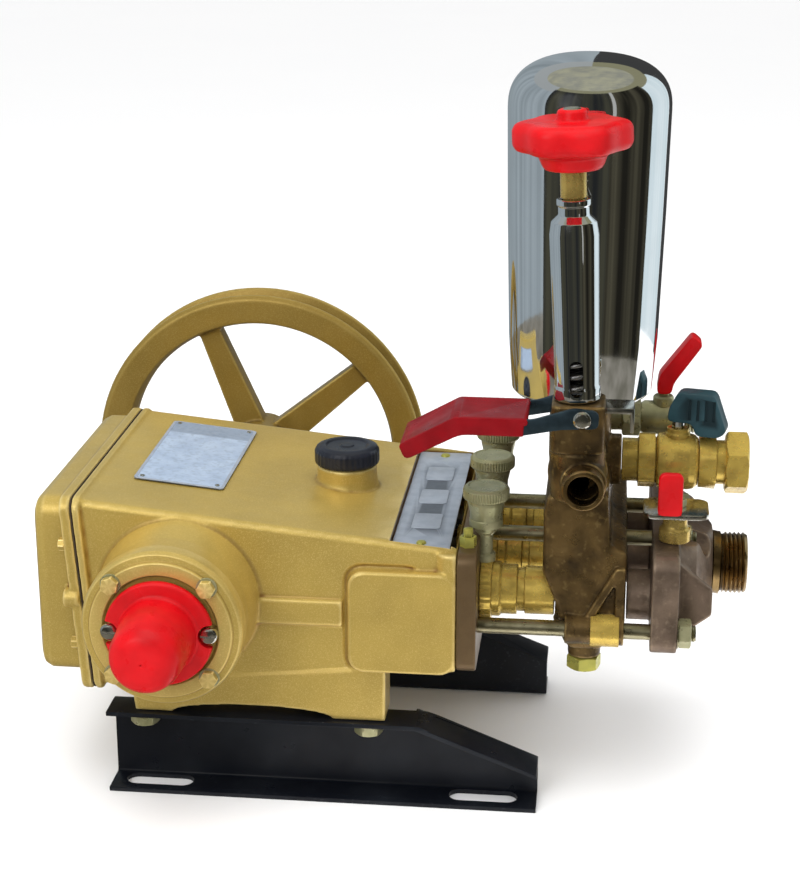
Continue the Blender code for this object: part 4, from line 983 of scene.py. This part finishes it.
def make_knob():
    mid = (HEAD_X, HEAD_Y, 340)
    profile = [(290, 0), (290, 8.6), (293, 8.6), (293, 5.2), (320.6, 5.2), (320.6, 6.3), (333.8, 6.3)]
    profile += [(333.8, 5.2), (358, 5.2), (359, 4.4), (359, 0)]
    stem = lathe("stem_screw", "Z", mid, profile, 48, 0.3)
    tilt(stem)
    put(stem, BRASS_Z, ["regulator_stem"], "regulator_screw")

    def lobes(angle, station, radius):
        return radius + (1.5 * math.cos(6 * angle) if radius > 20 else 0.0)

    profile = [(334, 0), (334, 13.2), (335.5, 14.5), (340.5, 16.5), (342.2, 21), (343.2, 25.2), (346, 26.9)]
    profile += [(353, 26.9), (355.6, 25.4), (356.8, 22), (356.4, 9), (357.5, 7.4), (361, 7.1)]
    profile += [(362, 6), (362, 0)]
    knob = lathe("knob_moulding", "Z", mid, profile, 144, 1.2, lobes)
    carve(knob, rod("bore", "Z", mid, 5.5, 330, 359.4))
    tilt(knob)
    put(knob, RED, ["regulator_knob"], "regulator_screw")
    end = lathe("stem_end", "Z", mid, [(361, 0), (361, 4.6), (361.9, 4.6), (362.6, 3.4), (362.6, 0)], 40, 0.3)
    tilt(end)
    put(end, NICKEL, body="regulator_screw")


def arm_outline(grow):
    """One arm of the release lever in side view, from the pivot to the cranked tip."""
    top = [(210, 220.5), (198, 222), (178, 215.5), (141, 215.5), (113.5, 200.5)]
    low = [(116.5, 192.5), (143.5, 206.5), (174, 206.5), (192, 210), (210, 211)]
    return [(x, z + grow) for x, z in top] + [(x, z - grow) for x, z in low]


def make_lever():
    near, far = HEAD_Y - 16.8, HEAD_Y + 16.8
    outline = rounded_corners(arm_outline(-0.5), 3.0, True)
    near_arm = extrude("lever_arm_near", "Y", outline, near - 0.6, near + 1.6, 0.4)
    far_arm = extrude("lever_arm_far", "Y", outline, far - 1.6, far + 0.6, 0.4)
    for arm, side in ((near_arm, near), (far_arm, far)):
        carve(arm, rod("pivot", "Y", (PIVOT.x, 0, PIVOT.z), 3.3, side - 5, side + 5))
        put(arm, BLUED, body="unloader_lever")
    dip = [point for point in rounded_corners(arm_outline(0.0), 3.5, True) if point[0] < 176]
    near_dip = extrude("lever_dip", "Y", dip, near - 1.2, near + 2.1, 0.9, 3)
    far_dip = extrude("far_dip", "Y", dip, far - 2.1, far + 1.2, 0.9, 3)
    grip = [(176, 215.4), (140.8, 215.4), (113.6, 200.4), (114.8, 196.8), (142, 211.9), (176, 212.1)]
    grip = extrude("grip", "Y", rounded_corners(grip, 1.5, True), near - 1.2, far + 1.2, 0.9, 3)
    join(near_dip, grip, far_dip)
    put(near_dip, DIPPED, ["release_lever"], "unloader_lever")
    head = [(near - 0.9, 0), (near - 0.9, 4.6), (near - 2.4, 4.4), (near - 3.4, 3.2), (near - 3.7, 0)]
    screw = lathe("pin_head", "Y", PIVOT, head, 48, 0.3)
    shank = [(near - 2, 0), (near - 2, 3.0), (far + 2, 3.0), (far + 2, 0)]
    shank = lathe("pin_shank", "Y", PIVOT, shank, 40, 0.2)
    tail = nut("pin_nut", "Y", PIVOT, 4.6, far + 0.8, far + 2.7, 5)
    join(screw, shank, tail)
    put(screw, NICKEL, ["lever_pin"], "unloader_lever")


# ---------------------------------------------------------------- outlet and cocks


def make_outlet():
    mid = (0, 0, OUTLET_Z)
    profile = [(222.3, 8), (222.3, 11.4), (230.6, 11.4), (231, 13.4), (239.4, 13.4), (240, 11.8)]
    profile += [(241, 14.4), (245, 14.9), (257, 14.9), (260, 14.2), (262, 12.4), (262, 8)]

    def shape(angle, station, radius):
        if 230.8 < station < 239.6 or 262.8 < station < 271.2:
            return hexed(15.4, 30)(angle, station, max(radius, 14.6) if radius > 13 else radius)
        return radius

    body = lathe("outlet_body", "X", mid, profile, 96, 0.5, shape)
    profile = [(262.3, 8), (262.3, 13.5), (271, 13.5), (271.4, 11.6), (287.4, 11.6), (287.4, 8)]
    spout = lathe("outlet_spout", "X", mid, profile, 96, 0.4, shape)
    put(spout, BRASS, ["outlet_connector"])
    neck = [(176, 0), (176, 6.6), (183, 6.6), (184, 5.8), (186, 5.8), (186, 0)]
    join(body, lathe("stem_neck", "Z", (VALVE_AT.x, 0, 0), neck, 48, 0.4))
    turns = [math.pi * k / 16 for k in range(17)]
    ball = [(VALVE_AT.x - 12.2 * math.cos(turn), 12.2 * math.sin(turn)) for turn in turns]
    ball[0], ball[-1] = (VALVE_AT.x - 12.2, 0), (VALVE_AT.x + 12.2, 0)
    stem_hole = rod("stem_hole", "Z", (VALVE_AT.x, 0, 0), 3.4, OUTLET_Z, 190)
    carve(body, stem_hole, lathe("pocket", "X", mid, ball, 48, 0))
    put(body, BRASS, ["outlet_valve_body"])
    outline = [(-5, 190), (-4.6, 197), (0, 206.4), (19, 206.4), (26, 187), (22, 183.4), (10, 183.4), (8, 190)]
    outline = [(VALVE_AT.x + x, z) for x, z in outline]
    handle = extrude("handle_moulding", "Y", rounded_corners(outline, 3.0, True), -5.4, 5.4, 1.4, 3)
    grooves = []
    for k in range(4):
        x = VALVE_AT.x + 6 + 4.2 * k
        for low, high in ((-7, -4.7), (4.7, 7)):
            grooves.append(block("groove", (x, low, 192), (x + 1.4, high, 203), 0))
    carve(handle, rod("handle_hole", "Z", (VALVE_AT.x, 0, 0), 3.3, 180, 190.4), *grooves)
    turn = Matrix.Rotation(math.radians(-12), 4, "Z")
    at = Matrix.Translation(ORIGIN + VALVE_AT * MM)
    handle.data.transform(at @ turn @ at.inverted())
    put(handle, TEAL, ["outlet_valve_handle"], "outlet_valve")
    profile = nut_profile(276, 288, 17.0, 11.9)
    union = lathe("union_nut_body", "X", mid, profile, 96, 0, hexed(17.0, 30))
    put(union, BRASS, ["outlet_union_nut"], "union_nut")


def make_near_cock():
    x, y = NEAR_COCK.xy
    profile = [(140.3, 0), (140.3, 8), (146.5, 8), (147.5, 6.8), (149, 6.2), (155, 6.2), (155.2, 3), (163, 3)]
    profile += [(164, 2.2), (164, 0)]
    body = lathe("near_cock_stem", "Z", (x, y, 0), profile, 64, 0.4)
    put(body, BRASS_Z, ["near_cock_body"])
    plate = extrude("cock_plate", "Z", rounded(x - 16.5, x + 16.5, y - 15, y + 12, 6), 156, 158.4, 0.5)
    carve(plate, rod("hole", "Z", (x, y, 0), 3.3, 150, 170))
    put(plate, NICKEL, body="near_cock")
    tab = extrude("cock_tab", "Y", rounded(x - 9.4, x + 2.8, 156.9, 180, 3.2), y - 15, y - 10.8, 1.2, 3)
    put(tab, RED, ["near_cock_lever"], "near_cock")
    cap = nut("cock_nut", "Z", (x, y, 0), 5.4, 158.5, 162.4, 0, 3.2)
    put(cap, OLIVE, body="near_cock")


def make_far_cock():
    x, y = FAR_COCK.xy
    line = (0, y, GALLERY_Z)
    profile = [(214.8, 0), (214.8, 8), (221.8, 8), (232.2, 8.4), (234, 9.6), (250, 9.6), (252, 7.6)]
    run = thread_run(252.5, 261.5, 7.9, 1.8)
    profile += run + [(262, 7), (262, 0)]
    body = lathe("far_cock_barrel", "X", line, profile, 64, 0, threaded(1.8, 0.6, 7.85))
    join(body, nut("hex", "X", line, 10.5, 222, 232, 0))
    profile = [(180, 0), (180, 5.6), (190, 5.6), (191, 4.8), (191, 0)]
    collar = lathe("collar", "Z", (x, y, 0), profile, 48, 0.3)
    join(body, collar, rod("stem", "Z", (x, y, 0), 3.0, 180, 200))
    carve(body, rod("bore", "X", line, 5.0, 225, 270))
    put(body, OLIVE, ["far_cock_body"])
    outline = [(240, 193), (248, 193), (249, 199), (264, 221), (258, 226), (241, 203)]
    outline = rounded_corners(outline, 2.5, True)
    lever = extrude("far_lever_moulding", "Y", outline, y - 6, y + 6, 1.4, 3)
    carve(lever, rod("hole", "Z", (x, y, 0), 3.3, 180, 200.4))
    put(lever, RED, ["far_cock_lever"], "far_cock")


# ---------------------------------------------------------------- frames


def make_frame(word, side):
    """A channel folded from sheet, its front end cut down at a slope."""
    web, edge, sheet = 60.0, 82.0, 2.5
    outer = [(edge, 0), (web, 0), (web, 46), (edge, 46)]
    inner = [(edge, 46 - sheet), (web + sheet, 46 - sheet), (web + sheet, sheet), (edge, sheet)]
    section = rounded_corners(outer, 4.0, False, 5) + rounded_corners(inner, 1.6, False, 3)
    frame_obj = extrude("channel_" + word, "X", [(side * y, z) for y, z in section], -41, 184, 0.35)
    slope = [(121.5, 46.5), (121.5, 80), (200, 80), (200, 15.5), (184, 21.6)]
    cuts = [extrude("slope", "Y", slope, side * 50, side * 100, 0)]
    low, high = sorted((side * 64.5, side * 76.5))
    for x in (-16, 156):
        cuts.append(extrude("slot", "Z", rounded(x - 18, x + 18, low, high, 5.9), -5, 8, 0))
    carve(frame_obj, *cuts)
    skin = [(120, 46 - sheet), (120, 46), (121.4, 46), (184, 21.8), (184, 21.8 - sheet), (121, 46 - sheet)]
    join(frame_obj, extrude("top_" + word, "Y", skin, side * 60.4, side * 82, 0.3))
    put(frame_obj, ENAMEL, ["frame_" + word])
    for number, x in enumerate((-22.5, 96)):
        at = (x, side * 71, 0)
        disc = [(42, 0), (42, 8.6), (43.4, 8.6), (43.4, 0)]
        washer = lathe("foot_washer_%s_%d" % (word, number), "Z", at, disc, 48, 0.2)
        put(washer, ZINC)
        bolt = nut("foot_bolt_%s_%d" % (word, number), "Z", at, 7.8, 36.6, 42, 12)
        put(bolt, OLIVE)


# ---------------------------------------------------------------- hidden pieces


def dress_inner_pieces():
    """The pieces inside keep their CAD shape and get their own materials."""
    looks = {"bearing_near": STEEL, "bearing_far": STEEL, "crankshaft": STEEL, "rear_cover_gasket": FIBRE,
             "outlet_valve_ball": CHROME}
    for k in (1, 2, 3):
        looks.update({"con_rod_%d" % k: STEEL, "crosshead_%d" % k: STEEL})
        looks.update({"plunger_%d" % k: CHROME, "packing_%d" % k: RUBBER})
    for name, look in looks.items():
        node = frame["nodes"][name]
        node.data.materials.clear()
        node.data.materials.append(look)
        node.data.shade_smooth()
        node.data.set_sharp_from_angle(angle=math.radians(35))


# ---------------------------------------------------------------- studio


def make_floor():
    bm = bmesh.new()
    bmesh.ops.create_grid(bm, x_segments=4, y_segments=4, size=12.0)
    floor = linked("floor", mesh_of("floor", bm))
    paper = Paint("floor_paper", (0.95, 0.95, 0.95), 0.0, 0.7)
    paper.colour(paper.mix(paper.noise(300, 3), (0.96, 0.96, 0.96), (0.94, 0.94, 0.945)))
    paper.shader.inputs["Specular IOR Level"].default_value = 0.15
    floor.data.materials.append(paper.mat)


def card_look(name, colour, streak):
    """A card that gives off its own colour, with upright streaks if it has a second one."""
    look = Paint(name, (0, 0, 0), 0.0, 1.0)
    look.shader.inputs["Specular IOR Level"].default_value = 0.0
    look.shader.inputs["Emission Strength"].default_value = 1.0
    share = look.span(look.noise(150, 2, (1, 1, 0.06)), 0.36, 0.68)
    look.plug(look.mix(share, colour, streak or colour), look.shader.inputs["Emission Color"])
    return look.mat


def make_card(name, azimuths, radii, heights, colour, streak=None):
    """A curved card round the pump that only its reflections see. Azimuth 0 is towards -Y."""
    bm = bmesh.new()
    columns = []
    for k in range(25):
        angle = math.radians(azimuths[0] + (azimuths[1] - azimuths[0]) * k / 24)
        column = []
        for radius, z in zip(radii, heights):
            x, y = radius * math.sin(angle), -radius * math.cos(angle)
            column.append(bm.verts.new((ORIGIN.x + HEAD_X * MM + x, ORIGIN.y + y, z)))
        columns.append(column)
    for a, b in zip(columns, columns[1:]):
        bm.faces.new((a[0], b[0], b[1], a[1]))
    card = linked(name, mesh_of(name, bm))
    card.data.materials.append(card_look(name, colour, streak))
    card.visible_camera = False
    card.visible_diffuse = False
    card.visible_shadow = False
    card.visible_transmission = False


def make_light(name, at, target, size, power, colour=(1, 1, 1)):
    data = bpy.data.lights.new(name, "AREA")
    data.shape = "SQUARE"
    data.size = size
    data.energy = power
    data.color = colour
    light = linked(name, data)
    light.location = at
    light.rotation_euler = (Vector(target) - Vector(at)).to_track_quat("-Z", "Y").to_euler()


def make_world():
    world = bpy.data.worlds.new("studio")
    bpy.context.scene.world = world
    world.use_nodes = True
    back = world.node_tree.nodes["Background"]
    back.inputs["Color"].default_value = (1.0, 1.0, 1.0, 1)
    back.inputs["Strength"].default_value = 1.0


def make_camera():
    """The camera stands in front and above, a little to the right of square on."""
    azimuth, elevation = math.radians(6.277), math.radians(18.032)
    data = bpy.data.cameras.new("camera")
    data.lens = 88.75
    data.sensor_width = 36.0
    data.sensor_fit = "HORIZONTAL"
    data.clip_end = 100.0
    camera = linked("camera", data)
    camera.location = Vector((213.9, -994.5, 497.5)) * MM + ORIGIN
    level = math.cos(elevation)
    ahead = Vector((-math.sin(azimuth) * level, math.cos(azimuth) * level, -math.sin(elevation)))
    camera.rotation_euler = ahead.to_track_quat("-Z", "Y").to_euler()
    bpy.context.scene.camera = camera


make_camera()
make_world()
make_floor()
make_card("grey_left", (-180, -60), (0.8, 0.8), (0.0, 0.95), (0.24, 0.28, 0.30), (0.36, 0.41, 0.44))
make_card("dark_front", (-62, 30), (0.62, 0.62), (0.0, 0.95), (0.010, 0.012, 0.016), (0.060, 0.058, 0.040))
make_card("dark_right", (30, 96), (0.62, 0.62), (0.0, 0.95), (0.014, 0.013, 0.010), (0.090, 0.082, 0.055))
make_card("light_strip", (32, 37), (0.6, 0.6), (0.25, 0.95), (0.42, 0.42, 0.40))
make_card("pale_strip", (96, 143), (0.78, 0.78), (0.0, 0.95), (0.62, 0.74, 0.78), (0.85, 0.92, 0.94))
make_card("dark_rear_right", (143, 180), (0.75, 0.75), (0.0, 0.95), (0.05, 0.05, 0.05))
make_card("shoulder", (-180, -60), (0.82, 0.62), (0.95, 1.16), (0.36, 0.38, 0.38))
make_card("olive_shoulder", (-60, 180), (0.82, 0.62), (0.95, 1.16), (0.25, 0.24, 0.15))
make_card("grey_ceiling", (-180, 180), (0.66, 0.001), (1.15, 1.17), (0.29, 0.29, 0.24), (0.40, 0.39, 0.28))
make_card("floor_shade", (-180, 96), (0.80, 0.20), (0.002, 0.002), (0.16, 0.15, 0.12), (0.30, 0.28, 0.24))
make_light("top_softbox", (0.05, -0.25, 1.25), (0.0, 0.0, 0.12), 1.1, 12)
make_light("front_softbox", (-0.55, -1.15, 0.85), (0.0, 0.0, 0.12), 0.8, 8)
make_crankcase()
make_front_plate()
make_rear_cover()
make_oil_cap()
make_nameplate()
make_splash_cover()
make_bearing_covers()
make_guard()
make_pulley()
for index in (1, 2, 3):
    make_cylinder(index)
make_manifold()
make_brass_fittings()
make_suction_housing()
make_studs()
make_air_chamber()
make_regulator()
make_spring()
make_knob()
make_lever()
make_outlet()
make_near_cock()
make_far_cock()
make_frame("near", -1)
make_frame("far", 1)
dress_inner_pieces()
bpy.context.scene.view_settings.view_transform = "Standard"
